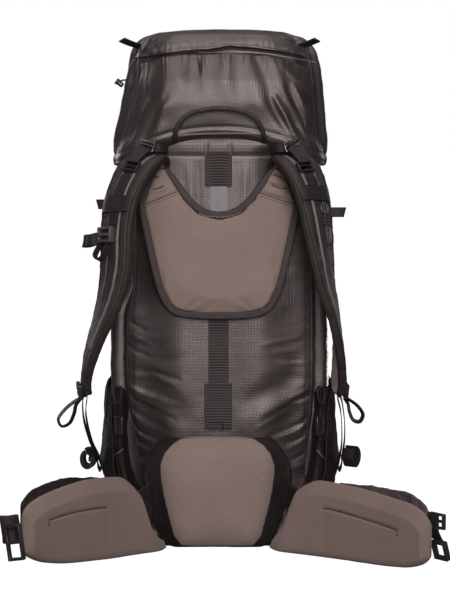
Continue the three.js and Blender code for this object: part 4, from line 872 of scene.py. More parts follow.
def makeYoke():
    obj = copyOf("yoke_pad")
    stuff(obj, yoke)
    points = coordsOf(obj)
    pushOut(obj, (foldsAt(points, yoke["folds"]) + ripple(points, yoke["crumple"])) * facing(obj, 0.3, 0.8))
    smoothShade(obj)
    finishPiece(obj, "yoke_foam", taupe, ["yoke_pad"])
    edge = copyOf("yoke_binding")
    toQuads(edge, (bpy.ops.mesh.select_all, {"action": "DESELECT"}), (bpy.ops.mesh.select_mode, {"type": "EDGE"}),
            (bpy.ops.mesh.edges_select_sharp, {"sharpness": math.radians(yoke["sharp"])}),
            (bpy.ops.transform.edge_crease, {"value": yoke["crease"]}))
    modify(edge, "SUBSURF", levels=3, render_levels=3)
    everywhere, onFace = yoke["stand"]
    pushOut(edge, ripple(coordsOf(edge), yoke["tapeCrumple"]) + everywhere + onFace * facing(edge, 0.2, 0.8))
    reachBack(edge, yoke["skirt"])
    smoothShade(edge)
    finishPiece(edge, "yoke_tape", binding, ["yoke_binding"])
    print("yoke padded")


makeYoke()

# Lumbar pad: foam with a sloping upper edge, on its black surround.
lumbar = {
    "voxel": 3.6, "pressure": 3.0, "cap": 3.0, "slope": (146, 0.24), "sewnAt": (-41, -46),
    "crumple": [(0.5, (25, 25, 25), 2, 0)],
    "folds": [(163, 452.5, 276, 452.5, -0.8, 1.2), (150, 440, 156, 460, 1.2, 3), (288, 445, 284, 460, 1.2, 3)],
    "surroundVoxel": 3.2, "skirt": 60, "surroundTop": (438, 218, 50, 1.3),
    "surroundCrumple": [(0.7, (22, 22, 60), 3, 0)],
    "surroundFolds": [
        (147, 470, 152, 520, -1.6, 2.2), (290, 466, 288, 505, 1.4, 2.4), (284, 520, 276, 540, -1.8, 2),
        (141, 536, 156, 541, -1.6, 1.6), (281, 542, 268, 545, -1.6, 1.4),
    ],
}


def makeLumbar():
    obj = copyOf("lumbar_pad")
    stuff(obj, lumbar)
    points = coordsOf(obj)
    height, tilt = lumbar["slope"]
    points[:, 1] += tilt * np.maximum(points[:, 2] - height * mm, 0) * facing(obj, 0.1, 0.6)
    setCoords(obj, points)
    pushOut(obj, (foldsAt(points, lumbar["folds"]) + ripple(points, lumbar["crumple"])) * facing(obj, 0.3, 0.8))
    smoothShade(obj)
    finishPiece(obj, "lumbar_foam", taupe, ["lumbar_pad"])
    base = copyOf("lumbar_surround")
    remesh(base, lumbar["surroundVoxel"], 3)
    points = coordsOf(base)
    pushOut(base, foldsAt(points, lumbar["surroundFolds"]) + ripple(points, lumbar["surroundCrumple"]))
    points = coordsOf(base)
    x, y = seenAt(points)
    top, middle, half, drop = lumbar["surroundTop"]
    inside = 1 - easeIn(np.abs(x - middle), half * 0.8, half * 1.25)
    points[:, 2] -= np.maximum(top - y, 0) * drop * inside * mm
    setCoords(base, points)
    reachBack(base, lumbar["skirt"])
    measure(base, points[:, 0], points[:, 2])
    smoothShade(base)
    finishPiece(base, "lumbar_cover", surroundCloth, ["lumbar_surround"])
    print("lumbar pad stuffed")


makeLumbar()

# Hip fins in plan from the lumbar pad to the tip: out, y, lower edge, upper edge, part of the full thickness.
fins = {
    "left": {"sign": -1, "rows": [
        (84, -19, 3, 12, 0.55), (98, -40, 1, 28, 0.9), (118, -56, 0.5, 88, 1), (148, -82, 0.5, 119, 1),
        (186, -122, 3, 122, 1), (222, -166, 8, 117, 0.95), (248, -203, 17, 110, 0.85),
        (262, -226, 27, 102, 0.65), (269, -238, 38, 93, 0.35),
    ],
        "folds": [
            (49, 520, 78, 511.5, -3.0, 1.6), (78, 511.5, 107, 507.5, -3.0, 1.6),
            (107, 508, 107.5, 550, -1.0, 3),
        ]},
    "right": {"sign": 1, "rows": [
        (79, -17.5, 3, 11, 0.55), (94, -41, 1, 38, 0.9), (116, -55, 0.5, 95, 1), (150, -78, 0.5, 113, 1),
        (192, -112, 1, 110, 1), (234, -150, 2, 103, 0.95), (266, -184, 6, 97, 0.85), (284, -206, 14, 87, 0.65),
        (293, -219, 26, 74, 0.35),
    ],
        "folds": [
            (324, 508, 360, 518, -3.0, 1.6), (360, 518, 397, 530, -3.0, 1.6), (324, 509, 323.5, 552, -1.0, 3),
        ]},
    "thick": 26, "around": 180, "cuts": (12, 11), "bevel": 19, "edge": 0.22, "long": 300, "rootTo": 0.3,
    "endPart": 0.02, "size": (0.26, 0.3), "sectionSize": (110, 13), "crumple": [(0.3, (22, 22, 22), 2, 0)],
    # the section: how far up the fin, and how far out as a part of half the thickness
    "section": [
        (0.0, 0.0), (0.004, -0.34), (0.02, -0.66), (0.05, -0.86), (0.10, -0.97), (0.2, -1.0), (0.45, -1.0),
        (0.7, -1.0), (0.9, -1.0), (0.99, -1.0), (1.0, 0.0), (0.99, 0.4), (0.95, 0.75), (0.88, 0.95), (0.7, 1.0),
        (0.3, 1.0), (0.08, 0.92), (0.02, 0.6),
    ],
}


def finSpot(side, at, up, outward):
    rows = np.array(fins[side]["rows"], float)
    plan = np.column_stack([rows[:, :2], np.zeros(len(rows))])
    centre, run = curveAt(plan, at), heading(plan, at)
    low, high = between(rows[:, 2], at), between(rows[:, 3], at)
    out, y = centre[:, 0] - run[:, 1] * outward, centre[:, 1] + run[:, 0] * outward
    return spot(fins[side]["sign"] * out, y, low + (high - low) * up)


def finThick(side, at):
    return fins["thick"] * between([row[4] for row in fins[side]["rows"]], at)


# A closed outline cut into equal parts, at a place from 0 to 1 round it.
def roundAt(outline, turn, scale=(1.0, 1.0)):
    loop = np.array(outline + outline[:1], float)
    run = runOf(loop * scale)
    return np.interp(turn * run[-1], run, loop[:, 0]), np.interp(turn * run[-1], run, loop[:, 1])


def makeFin(side):
    def place(turn, v):
        up, out = roundAt(fins["section"], turn, fins["sectionSize"])
        tall = between([row[3] - row[2] for row in fins[side]["rows"]], v)
        edge = np.minimum((1 - up) * tall, (1 - v) * fins["long"])  # millimetres from the upper edge or the tip
        face = fins["edge"] + (1 - fins["edge"]) * np.clip(edge / fins["bevel"], 0, 1)
        back = finThick(side, v) / 2
        front = np.minimum(np.where(v < fins["rootTo"], back, fins["thick"] / 2), fins["thick"] / 2 * face)
        end = np.sqrt(np.clip(np.minimum(v, 1 - v) / fins["endPart"], 0, 1))  # both ends are rounded off
        return finSpot(side, v, up, out * np.where(out < 0, front, back) * (0.55 + 0.45 * end))

    obj = laidTube(fins["around"], fins["cuts"], place, *fins["size"])
    faceOut(obj)
    modify(obj, "SMOOTH", factor=0.5, iterations=1)
    points = coordsOf(obj)
    pushOut(obj, foldsAt(points, fins[side]["folds"]) * facing(obj, 0.15, 0.5) + ripple(points, fins["crumple"]))
    smoothShade(obj)
    # The fins take the darker copy of the taupe: painted shade.
    finishPiece(obj, f"fin_foam_{side}", shadedFinTaupe, [f"hip_fin_{side}"])


# Belt wing: the black cloth that carries each fin from the side of the lumbar pad.
wing = {
    "near": (103, -10), "low": 5, "high": 100, "at": 0.3, "up": 0.82, "inside": 6, "thick": 5,
    "across": 24, "along": 36, "size": (0.06, 0.1), "bevel": (1.6, 3, 50), "crumple": [(0.9, (30, 30, 50), 3, 0)],
}


def makeWing(side):
    def place(u, v):
        out, y = wing["near"]
        near = spot(fins[side]["sign"] * out, y, wing["low"] + (wing["high"] - wing["low"]) * v)
        far = finSpot(side, np.full(len(u), wing["at"]), wing["up"] * v, wing["inside"])
        return near + (far - near) * u[:, None]

    obj = laidGrid(wing["across"], wing["along"], place, *wing["size"])
    solidify(obj, wing["thick"])
    bevel(obj, *wing["bevel"])
    pushOut(obj, ripple(coordsOf(obj), wing["crumple"]))
    smoothShade(obj)
    finishPiece(obj, f"belt_wing_{side}", surroundCloth)


# Zipped pouch on the outside of each fin.
pouch = {
    "voxel": 4.0, "pressure": 4.0, "cap": 3.0,
    "crumple": [(1.1, (35, 35, 60), 3, 0), (0.5, (120, 120, 120), 2, 2)],
}


def makeHipPocket(side):
    obj = copyOf(f"hip_pocket_{side}")
    stuff(obj, pouch)
    pushOut(obj, ripple(coordsOf(obj), pouch["crumple"]))
    points = coordsOf(obj)
    measure(obj, points[:, 0] + points[:, 1], points[:, 2])
    smoothShade(obj)
    # The left pouch keeps the black packcloth and the right one is painted lighter: painted light.
    paint = packcloth if side == "left" else litPouchCloth
    finishPiece(obj, f"hip_pouch_{side}", paint, [f"hip_pocket_{side}"])


for side in ("left", "right"):
    makeFin(side)
    makeWing(side)
    makeHipPocket(side)
print("hip belt padded")

# Shoulder straps from the yoke to the lower tip: out, y, z, width, and how far the strap is turned.
straps = {
    "left": {"sign": -1, "rows": [
        (97, -12.6, 573, 52, 0), (103, -27, 582, 56, 8), (118, -45, 574, 64, 26), (133, -60, 549, 68, 40),
        (144, -71, 516, 70, 47), (149, -78, 476, 70, 50), (150, -82, 434, 70, 51), (155, -81, 398, 68, 55),
        (166, -76, 360, 64, 62), (181, -68, 320, 58, 70), (192, -58, 284, 52, 76), (197, -48, 252, 46, 80),
        (196, -44, 238, 38, 80),
    ]},
    "right": {"sign": 1, "rows": [
        (97, -12.6, 573, 52, 0), (103, -27, 582, 56, 8), (116, -45, 574, 64, 26), (129, -60, 549, 68, 40),
        (138, -71, 516, 70, 49), (144, -78, 476, 70, 56), (150, -82, 434, 70, 65), (156, -81, 398, 68, 71),
        (166, -76, 360, 64, 78), (173, -68, 320, 58, 87), (176, -58, 284, 52, 98), (176, -48, 252, 46, 104),
        (175, -44, 238, 38, 104),
    ]},
    "around": 132, "cuts": (11, 10), "face": 7.0, "girth": 0.17, "long": 0.42, "tip": (0.965, 0.037),
    "sectionSize": (34, 1), "crumple": [(0.8, (45, 45, 70), 3, 0), (0.35, (160, 160, 200), 2, 4)],
    # binding past this part of half the width on the back and on the face, and piping along the face
    "bound": (0.66, 0.86), "piped": ((0.2, 0.345), (-0.43, -0.36)), "pipedTo": 0.78,
    # the section: part of half the width, and millimetres off the strap's middle
    "section": [
        (-1.0, 0.0), (-0.99, 3.4), (-0.95, 5.3), (-0.895, 5.7), (-0.86, 4.5), (-0.82, 5.7), (-0.5, 6.9),
        (-0.445, 6.0), (-0.42, 7.2), (-0.395, 7.6), (-0.37, 7.2), (-0.345, 6.1), (-0.3, 7.0), (-0.1, 7.1),
        (0.16, 6.7), (0.20, 5.4), (0.23, 7.3), (0.27, 8.1), (0.31, 7.3), (0.345, 5.2), (0.40, 6.4), (0.6, 7.6),
        (0.79, 6.4), (0.85, 4.4), (0.885, 5.7), (0.95, 5.3), (0.99, 3.4), (1.0, 0.0), (0.99, -3.4),
        (0.95, -5.3), (0.895, -5.7), (0.86, -4.9), (0.7, -6.4), (0.0, -7.0), (-0.7, -6.4), (-0.86, -4.9),
        (-0.895, -5.7), (-0.95, -5.3), (-0.99, -3.4),
    ],
}


def strapFrame(side, at):
    rows = np.array(straps[side]["rows"], float)
    at = np.atleast_1d(np.asarray(at, float))
    centre, ahead = curveAt(rows[:, :3], at), heading(rows[:, :3], at)
    turn = np.radians(between(rows[:, 4], at))
    across = np.stack([-np.cos(turn), -np.sin(turn), 0 * turn], axis=-1)
    across = unit(across - ahead * np.sum(across * ahead, axis=-1, keepdims=True))
    face = np.cross(across, ahead)
    flip = np.array([straps[side]["sign"], 1, 1])
    return centre * flip, across * flip, ahead * flip, face * flip, between(rows[:, 3], at) / 2


# A point of a strap in pack millimetres: across from -1 at its outer edge to 1 at its inner edge.
def strapPoint(side, at, across, off):
    centre, wide, ahead, face, half = strapFrame(side, at)
    across, off = np.broadcast_to(across, half.shape), np.broadcast_to(off, half.shape)
    return centre + wide * (across * half)[:, None] + face * off[:, None]


def paintZones(obj, girth, length, zoneOf):
    mesh = obj.data
    cloth = readAll(mesh.uv_layers.active.data, "uv", 2)
    starts, counts = (readAll(mesh.polygons, name, 1, np.int32) for name in ("loop_start", "loop_total"))
    turn, along = np.add.reduceat(cloth, starts, axis=0).T / counts
    mesh.polygons.foreach_set("material_index", np.asarray(zoneOf(turn / girth % 1, along / length), np.int32))


def makeStrap(side):
    def place(turn, v):
        across, off = roundAt(straps["section"], turn, straps["sectionSize"])
        start, long = straps["tip"]
        tip = np.sqrt(np.clip(1 - (np.clip(v - start, 0, 1) / long) ** 2, 0.05, 1))
        return drawnFrom + strapPoint(side, v, across * tip, off * (0.5 + 0.5 * tip)) * mm

    def zoneOf(turn, along):
        across, off = roundAt(straps["section"], turn, straps["sectionSize"])
        bound = np.abs(across) > np.where(off < 0, *straps["bound"])
        piped = np.any([(across > low) & (across < high) for low, high in straps["piped"]], axis=0)
        return np.select([bound, off < 0, piped & (along < straps["pipedTo"])], [1, 3, 2], 0)

    obj = laidTube(straps["around"], straps["cuts"], place, straps["girth"], straps["long"])
    faceOut(obj)
    modify(obj, "SMOOTH", factor=0.4, iterations=1)
    pushOut(obj, ripple(coordsOf(obj), straps["crumple"]))
    smoothShade(obj)
    paints = [strapCloth, binding, greyPiping, taupe]
    finishPiece(obj, f"strap_pad_{side}", paints, [f"shoulder_strap_{side}"])
    paintZones(obj, straps["girth"], straps["long"], zoneOf)


# What is sewn flat on the straps: along the strap from and to, across it from and to, its narrowing and height.
sewnOn = {
    "strap_webbing_left": ("left", 0.235, 0.4, -0.3, 0.3, 1.0, 0.8, 0.0),
    "strap_webbing_right": ("right", 0.24, 0.315, -0.3, 0.3, 1.0, 1.0, 0.0),
    "strap_band_left": ("left", 0.31, 0.36, -0.95, 0.9, 1.0, 3.0, 8.5),
    "strap_band_right": ("right", 0.275, 0.325, -0.95, 0.9, 1.0, 3.0, 8.5),
    "sternum_tail": ("right", 0.374, 0.397, -0.5, -0.1, 0.6, 0.8, 0.0),
}
tape = {"thick": 1.8, "across": 12, "along": 28, "bevel": (0.35, 2, 50), "shade": 40, "halfStrap": 0.034}


# Gives a strap its thickness and a rounded edge.
def thicken(obj, thick):
    solidify(obj, thick)
    bevel(obj, *tape["bevel"])
    smoothShade(obj, tape["shade"])
    return obj


def makeSewn(name):
    side, start, end, outer, inner, taper, low, hug = sewnOn[name]

    def place(u, v):
        middle = (outer + inner) / 2
        across = middle + (outer + (inner - outer) * u - middle) * (1 + (taper - 1) * v)
        off = straps["face"] + low + tape["thick"] / 2 - hug * np.abs(across) ** 5
        return drawnFrom + strapPoint(side, start + (end - start) * v, across, off) * mm

    size = tape["halfStrap"] * (inner - outer), straps["long"] * (end - start)
    obj = thicken(laidGrid(tape["across"], tape["along"], place, *size), tape["thick"])
    finishPiece(obj, name + "_tape", elastic if name == "sternum_tail" else webbing, [name])


# The spare end of the chest strap, doubled back below its buckle: along the strap, across it, and off its face.
spare = {
    "path": [
        (0.440, -0.22, 9.6), (0.468, -0.28, 11), (0.492, -0.52, 13), (0.499, -0.80, 13.5), (0.484, -1.0, 13),
        (0.464, -0.90, 11.5), (0.442, -0.56, 10),
    ],
    "width": 9, "rows": 60, "at": 0.44, "lean": (0, 0, 0.35),
}


def makeSpareEnd():
    path = [strapPoint("left", *row)[0] for row in spare["path"]]
    wide = strapFrame("left", spare["at"])[3][0] + spare["lean"]
    finishPiece(laidStrap(path, wide, spare["width"], spare["rows"], True), "chest_strap_spare", webbing)


# A strap along a path, lying flat across a direction.
def laidStrap(path, wide, width, along, closed=False, thick=None, across=8):
    path = np.asarray(path, float)

    def place(u, v):
        centre, ahead = curveAt(path, v, closed), heading(path, v, closed)
        side = wide(v) if callable(wide) else np.broadcast_to(np.asarray(wide, float), ahead.shape)
        side = unit(side - ahead * np.sum(side * ahead, axis=-1, keepdims=True))
        return drawnFrom + (centre + side * ((u - 0.5) * width)[:, None]) * mm

    length = runOf(curveAt(path, np.linspace(0, 1, 200), closed))[-1] * mm
    return thicken(laidGrid(across, along, place, width * mm, length), thick or tape["thick"])


def finishTape(obj, kind, side):
    finishPiece(obj, f"{kind}_tape_{side}", webbing, [f"{kind}_{side}"])


def mirrored(rows, sign):
    return np.asarray(rows, float) * (sign, 1, 1)


# Load lifters and the short straps of the lid.
lifters = {
    "lidStrap": [(77, -8, 599), (86, -20, 600), (96, -24.5, 600.5)], "lidWidth": 12,
    "anchor": (107, -27.5, 603), "slope": (0.35, -0.3, -0.9), "wide": (0.95, 0.1, 0.3), "face": (0.1, -1, 0.25),
    "at": 0.2, "seat": 7.5, "overLock": 7.4, "overAnchor": 5, "past": 4, "sag": 2, "width": 20,
    "rows": 30, "lidRows": 16,
}


def makeLifter(side):
    sign = straps[side]["sign"]
    path = mirrored(lifters["lidStrap"], sign)
    finishTape(laidStrap(path, (0, 0, 1), lifters["lidWidth"], lifters["lidRows"]), "lid_strap", side)
    anchor, slope, wide, face = (mirrored(lifters[key], sign) for key in ("anchor", "slope", "wide", "face"))
    slope, wide, face = unit(slope), unit(wide), unit(face)
    start = anchor + face * lifters["overAnchor"] + slope * lifters["past"]
    end = strapPoint(side, lifters["at"] - 0.01, 0, lifters["seat"] + lifters["overLock"])[0]
    middle = (start + end) / 2 + np.array([0, -lifters["sag"], lifters["sag"]])
    lockWide = -strapFrame(side, lifters["at"])[1][0]

    def turning(v):
        return wide + (lockWide - wide) * v[:, None]

    obj = laidStrap([start, middle, end], turning, lifters["width"], lifters["rows"])
    finishTape(obj, "load_lifter", side)


def joined(pieces):
    pick(pieces[0])
    for piece in pieces:
        piece.select_set(True)
    bpy.ops.object.join()
    return pieces[0]


# Strap ends: the pull loop, the thin lower strap and its spare length in a roll.
ends = {
    "at": 0.965, "seat": 7.5, "hook": 13.4, "hookOff": 3, "loopWidth": 9, "loopLean": 0.45, "loopRows": 90,
    "lowerWidth": 10, "lowerThick": 1.4, "lowerAcross": (0, 0.77, 0.64), "lowerGrid": (160, 6),
    "loop": {
        "left": [
            (1, 0, 0), (7, 0, -9), (10, -1, -22), (17, -2, -36), (28, -3, -40), (33, -3, -30), (24, -1, -16),
            (8, 0, -3),
        ],
        "right": [
            (1, 0, 0), (6, 0, -9), (8, -1, -20), (14, -2, -33), (23, -3, -35), (28, -3, -25), (21, -1, -13),
            (8, 0, -3),
        ]},
    "lower": {
        "left": [
            (196.6, -42, 235.8), (199, -30, 208), (193, 6, 160), (184, 50, 126), (182.4, 61, 112.5),
            (184.6, 64.5, 108.8), (187, 62, 113), (188.5, 48, 132), (197, 4, 166), (203, -30, 206),
            (200.8, -41, 234.4),
        ],
        "right": [
            (175, -42, 235.8), (180.6, -30, 208), (184.5, 6, 160), (183.4, 50, 126), (182.4, 61, 112.5),
            (184.6, 64.5, 108.8), (187, 62, 113), (188, 48, 132), (188.7, 4, 166), (185, -30, 206),
            (178.4, -41, 234.4),
        ]},
    "roll": {"left": (202.7, 62, 126, 0.15), "right": (203.3, 66, 128, 0.9)},
    "inner": (5.2, 7.6), "outer": (12.0, 16.5), "turns": 3.3, "deep": 20, "ply": 1.9,
    "rollGrid": (8, 220), "rollLong": 0.36, "wobble": 0.02, "slip": 0.32,
    "keeper": {"width": 7, "rows": 80, "thick": 1.0, "across": 4, "clear": (1.0, 0.6, 2.2)},
}


def makeStrapEnd(side):
    sign = straps[side]["sign"]
    ahead, face = (part[0] for part in strapFrame(side, ends["at"])[2:4])
    hook = strapPoint(side, ends["at"], 0, ends["seat"])[0] + ahead * ends["hook"] + face * ends["hookOff"]
    path = hook + mirrored(ends["loop"][side], sign)

    def leaning(v):
        return (0, 1, 0) + ends["loopLean"] * np.cross(heading(path, v, True), (0, 1, 0))

    finishTape(laidStrap(path, leaning, ends["loopWidth"], ends["loopRows"], True), "pull_loop", side)
    lower, (along, over) = mirrored(ends["lower"][side], sign), ends["lowerGrid"]
    obj = laidStrap(lower, ends["lowerAcross"], ends["lowerWidth"], along, True, ends["lowerThick"], over)
    finishTape(obj, "lower_strap", side)
    out, y, z, turn = ends["roll"][side]
    centre = np.array([sign * out, y, z])
    across = np.array([math.cos(turn), sign * math.sin(turn), 0])
    axis = np.array([sign * math.sin(turn), -math.cos(turn), 0])
    up = np.cross(axis, across)

    def wound(u, v):
        angle = 2 * math.pi * ends["turns"] * v
        wide, tall = (low + (high - low) * v for low, high in zip(ends["inner"], ends["outer"]))
        wide = wide * (1 + ends["wobble"] * np.sin(3 * angle + 1)) * np.cos(angle)
        deep = (u - 0.5) * ends["deep"] * 0.94 + ends["slip"] * np.sin(1.7 * angle)
        tall = tall * np.sin(angle)
        return drawnFrom + (centre + np.outer(wide, across) + np.outer(tall, up) + np.outer(deep, axis)) * mm

    roll = thicken(laidGrid(*ends["rollGrid"], wound, ends["deep"] * mm, ends["rollLong"]), ends["ply"])
    keeper = ends["keeper"]
    outside, beside, inside = keeper["clear"]
    near, far = -sign * (ends["inner"][0] - inside), -sign * (ends["outer"][0] + outside)
    half = ends["deep"] / 2 + beside
    ring = [centre + across * a + axis * b for a, b in ((far, -half), (far, half), (near, half), (near, -half))]
    ring = [ring[k] * (1 - t) + ring[(k + 1) % 4] * t for k in range(4) for t in (0.06, 0.5, 0.94)]
    band = laidStrap(ring, up, keeper["width"], keeper["rows"], True, keeper["thick"], keeper["across"])
    finishTape(joined([roll, band]), "tail_roll", side)


# A round cord or handle along a path, with its own radius along it.
def laidCord(path, radius, around, cuts, ribs=None):
    rows = rowsOf(cuts)
    path = np.asarray(path, float)
    at = np.linspace(0, 1, rows + 1)
    centre, ahead = curveAt(path, at), heading(path, at)
    side = np.empty_like(ahead)
    side[0] = unit(np.cross(ahead[0], (0.31, 0.22, 0.92)))
    for i in range(1, rows + 1):
        side[i] = unit(side[i - 1] - ahead[i] * (side[i - 1] @ ahead[i]))
    other = np.cross(ahead, side)
    length = runOf(centre)[-1]

    def place(turn, v):
        i = np.rint(v * rows).astype(int)
        thick = radius * (1 if ribs is None else 1 + ribs[1] * np.sin(2 * math.pi * v * length / ribs[0]))
        angle = 2 * math.pi * turn
        out = side[i] * (thick * np.cos(angle))[:, None] + other[i] * (thick * np.sin(angle))[:, None]
        return drawnFrom + (centre[i] + out) * mm

    obj = laidTube(around, cuts, place, 2 * math.pi * radius * mm, length * mm)
    faceOut(obj)
    smoothShade(obj)
    return obj


# The lid's cord, from its seam to the cord lock.
lockCord = {
    "path": [(-152, 41.6, 703), (-142, 42.6, 705), (-130, 46.6, 702), (-116, 52.6, 698)],
    "radius": 1.3, "around": 12, "cuts": (7, 5),
}


def makeLockCord():
    obj = laidCord(lockCord["path"], lockCord["radius"], lockCord["around"], lockCord["cuts"])
    finishPiece(obj, "lock_cord", webbing)


# The haul loop: its right half, from its root to its middle.
haul = {
    "half": [
        (67, -7, 611), (66, -22, 619), (61, -31, 633), (52, -34.5, 644.5), (39, -36, 652), (20, -36, 656.5),
        (0, -36, 658),
    ],
    "radius": 3.4, "ribs": (3.4, 0.05), "around": 24, "cuts": (15, 15),
}


def makeHaulLoop():
    half = haul["half"]
    path = [(-x, y, z) for x, y, z in half] + half[-2::-1]
    obj = laidCord(path, haul["radius"], haul["around"], haul["cuts"], haul["ribs"])
    finishPiece(obj, "haul_handle", elastic, ["haul_loop"])


# Plastic parts take the solid's own shape, with rounded edges.
moulded = {"flat": 1, "bevel": (0.8, 3, 30), "shade": 35, "sideGrow": 0.9, "lockMove": (8, 0, 0)}


def makeMoulded(name, paint=plastic, grow=0.0, move=(0, 0, 0)):
    obj = copyOf(name)
    inEdit(obj, (bpy.ops.mesh.dissolve_limited, {"angle_limit": math.radians(moulded["flat"])}))
    bevel(obj, *moulded["bevel"])
    if grow:
        pushOut(obj, np.full(len(obj.data.vertices), grow))
    setCoords(obj, coordsOf(obj) + np.array(move) * mm)
    smoothShade(obj, moulded["shade"])
    finishPiece(obj, name + "_moulded", paint, [name])


# Cords and rings: the solid rounded off.
def makeRounded(name, paint):
    obj = copyOf(name)
    toQuads(obj)
    modify(obj, "SUBSURF", levels=2, render_levels=2)
    points = coordsOf(obj)
    measure(obj, points[:, 0] + points[:, 1], points[:, 2])
    smoothShade(obj)
    finishPiece(obj, name + "_round", paint, [name])


# The folds of webbing at the sternum, the sides, the lid and the hip belt.
folds = {
    "sternum": [(1.1, -1, -4), (8, -3, -6), (16, -7, -7), (20, -2, -9), (12, 4, -9), (3.5, 6, -6)],
    "sternumAt": (0.425, -0.85, 12.7),
    "sideTab": {"left": (517, 24), "right": (505, 28)}, "tabY": 50,
    "tabFold": [(0, -4), (0.55, -5), (1, -2), (1, 2), (0.55, 3), (0, 3)],
    "lidTab": [(108, 88, 755), (120, 66, 757), (135, 42, 760), (147, 27, 764)],
    "beltFold": [
        (0, 0), (6, -8), (14, -12), (23, -10), (24, -4), (14, -3), (4, 6),
    ], "beltLeft": (0.95, 4.1, 69),
    "beltHang": [(0, 88), (0, 76), (0, 64), (4, 56), (8, 50)], "beltRight": (0.97, 3.5),
    # across which way, width and rows of each
    "sternumForm": ((0.2, 0, 1), 17, 70), "tabForm": ((0.25, 0, 1), 15, 70),
    "lidForm": ((0.8, 0.48, -0.35), 12, 24), "lidThick": 2.4, "tabStand": 1.5,
    "beltForm": ((-0.15, 0, 1), 38, 110), "hangForm": (22, 50),
}


# A place outside a hip fin, some millimetres clear of it.
def finRoot(side, at, clear):
    return (finSpot(side, np.array([at]), 0.5, finThick(side, at) / 2 + clear)[0] - drawnFrom) / mm


def makeFolds():
    edge = strapPoint("left", *folds["sternumAt"])[0]
    obj = laidStrap(edge + mirrored(folds["sternum"], -1), *folds["sternumForm"], closed=True)
    finishPiece(obj, "sternum_loop_tape", webbing, ["sternum_loop"])
    for side, sign in (("left", -1), ("right", 1)):
        z, reach = folds["sideTab"][side]
        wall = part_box(f"side_tab_{side}")
        inner = min((wall[0].x - drawnFrom[0]) / mm, (wall[1].x - drawnFrom[0]) / mm, key=abs)
        path = [(inner + sign * (reach * r + folds["tabStand"]), folds["tabY"] + y, z) for r, y in folds["tabFold"]]
        wide, width, rows = folds["tabForm"]
        finishTape(laidStrap(path, mirrored(wide, sign), width, rows, closed=True), "side_tab", side)
        wide, width, rows = folds["lidForm"]
        path = mirrored(folds["lidTab"], sign)
        finishTape(laidStrap(path, mirrored(wide, sign), width, rows, thick=folds["lidThick"]), "lid_tab", side)
    at, clear, z = folds["beltLeft"]
    root = finRoot("left", at, clear)
    path = [(root[0] - out, root[1] + y, z) for out, y in folds["beltFold"]]
    finishTape(laidStrap(path, *folds["beltForm"], closed=True), "belt_webbing", "left")
    root = finRoot("right", *folds["beltRight"])
    run = unit(np.diff(finSpot("right", np.array([0.9, 0.96]), 0.5, 0.0), axis=0)[0] * (1, 1, 0))
    outward = np.array([-run[1], run[0], 0])
    path = [np.array([root[0], root[1], z]) + outward * off for off, z in folds["beltHang"]]
    finishTape(laidStrap(path, run, *folds["hangForm"]), "belt_webbing", "right")


# Spine: the ribbed sleeve over the stay's head, the ribbed webbing under the yoke and its flat pocket.
spine = {
    "x": -1.5, "across": 24, "thick": 1.3, "shade": 60,
    "sleeve": {"width": 40, "low": 544, "high": 590, "y": -4.5, "pitch": 4.1, "rib": 0.8, "arc": 4.0, "rows": 110},
    "spine": {"width": 30, "low": 178, "high": 400, "y": -4.5, "pitch": 4.3, "rib": 0.6, "arc": 0.6, "rows": 420},
    "pocket": {"width": 41, "low": 180, "high": 249, "y": -7.3, "pitch": 4.3, "rib": 0.4, "arc": 1.0, "rows": 150},
}


def makeSpineBand(key, name, replaced, paint):
    band = spine[key]

    def place(u, v):
        x, z = (u - 0.5) * band["width"], band["low"] + (band["high"] - band["low"]) * v
        phase = (z + band["arc"] * (2 * u - 1) ** 2) / band["pitch"]
        rib = band["rib"] * (np.abs(np.sin(math.pi * phase)) - 0.6)
        return spot(spine["x"] + x, band["y"] - rib, z)

    obj = laidGrid(spine["across"], band["rows"], place, band["width"] * mm, (band["high"] - band["low"]) * mm)
    modify(obj, "SOLIDIFY", thickness=spine["thick"] * mm, offset=0)
    faceOut(obj)
    smoothShade(obj, spine["shade"])
    finishPiece(obj, name, paint, [replaced])


# Side pockets: cloth drawn up by an elastic hem.
sidePocket = {"crumple": [(2.0, (0, 30, 22), 3, 0)], "gather": (0.12, 0.23), "pleat": (1.2, 3.1)}


def makeSidePocket(side):
    obj = copyOf(f"side_pocket_{side}")
    toQuads(obj)
    modify(obj, "SUBSURF", subdivision_type="SIMPLE", levels=3, render_levels=3)
    modify(obj, "SMOOTH", factor=0.5, iterations=6)
    points = coordsOf(obj)
    out, pitch = sidePocket["pleat"]
    pleats = out * easeIn(points[:, 2], *sidePocket["gather"]) * np.sin(points[:, 1] / mm / pitch)
    points[:, 0] += straps[side]["sign"] * mm * (ripple(points, sidePocket["crumple"]) + pleats)
    setCoords(obj, points)
    measure(obj, points[:, 1], points[:, 2])
    smoothShade(obj)
    finishPiece(obj, f"side_pocket_cloth_{side}", packcloth, [f"side_pocket_{side}"])


# Places along a line in the picture, on the piece seen there, with the way the piece faces.
def onPicture(tree, line, spacing):
    line = np.array(line, float)
    run = runOf(line)
    at = np.linspace(0, run[-1], max(int(run[-1] / spacing), 1) + 1)
    hits = [hitAt(tree, np.interp(k, run, line[:, 0]), np.interp(k, run, line[:, 1])) for k in at]
    hits = [hit for hit in hits if hit[0] is not None]
    return np.array([hit[0] for hit in hits]), np.array([hit[1] for hit in hits])


# Zip flap: a fold of the lid's cloth over its zip, lifted in the middle, with a light edge.
flap = {
    "edge": [(135, 58.5), (160, 55), (185, 52), (209, 50), (230, 46.4), (255, 48.5), (280, 52), (304, 57)],
    "tall": 9.5, "lift": 4.5, "stand": 0.6, "rolled": 0.12, "pleat": 1.3, "across": 150, "up": 18, "thick": 1.6,
    "size": (0.25, 0.014),
}


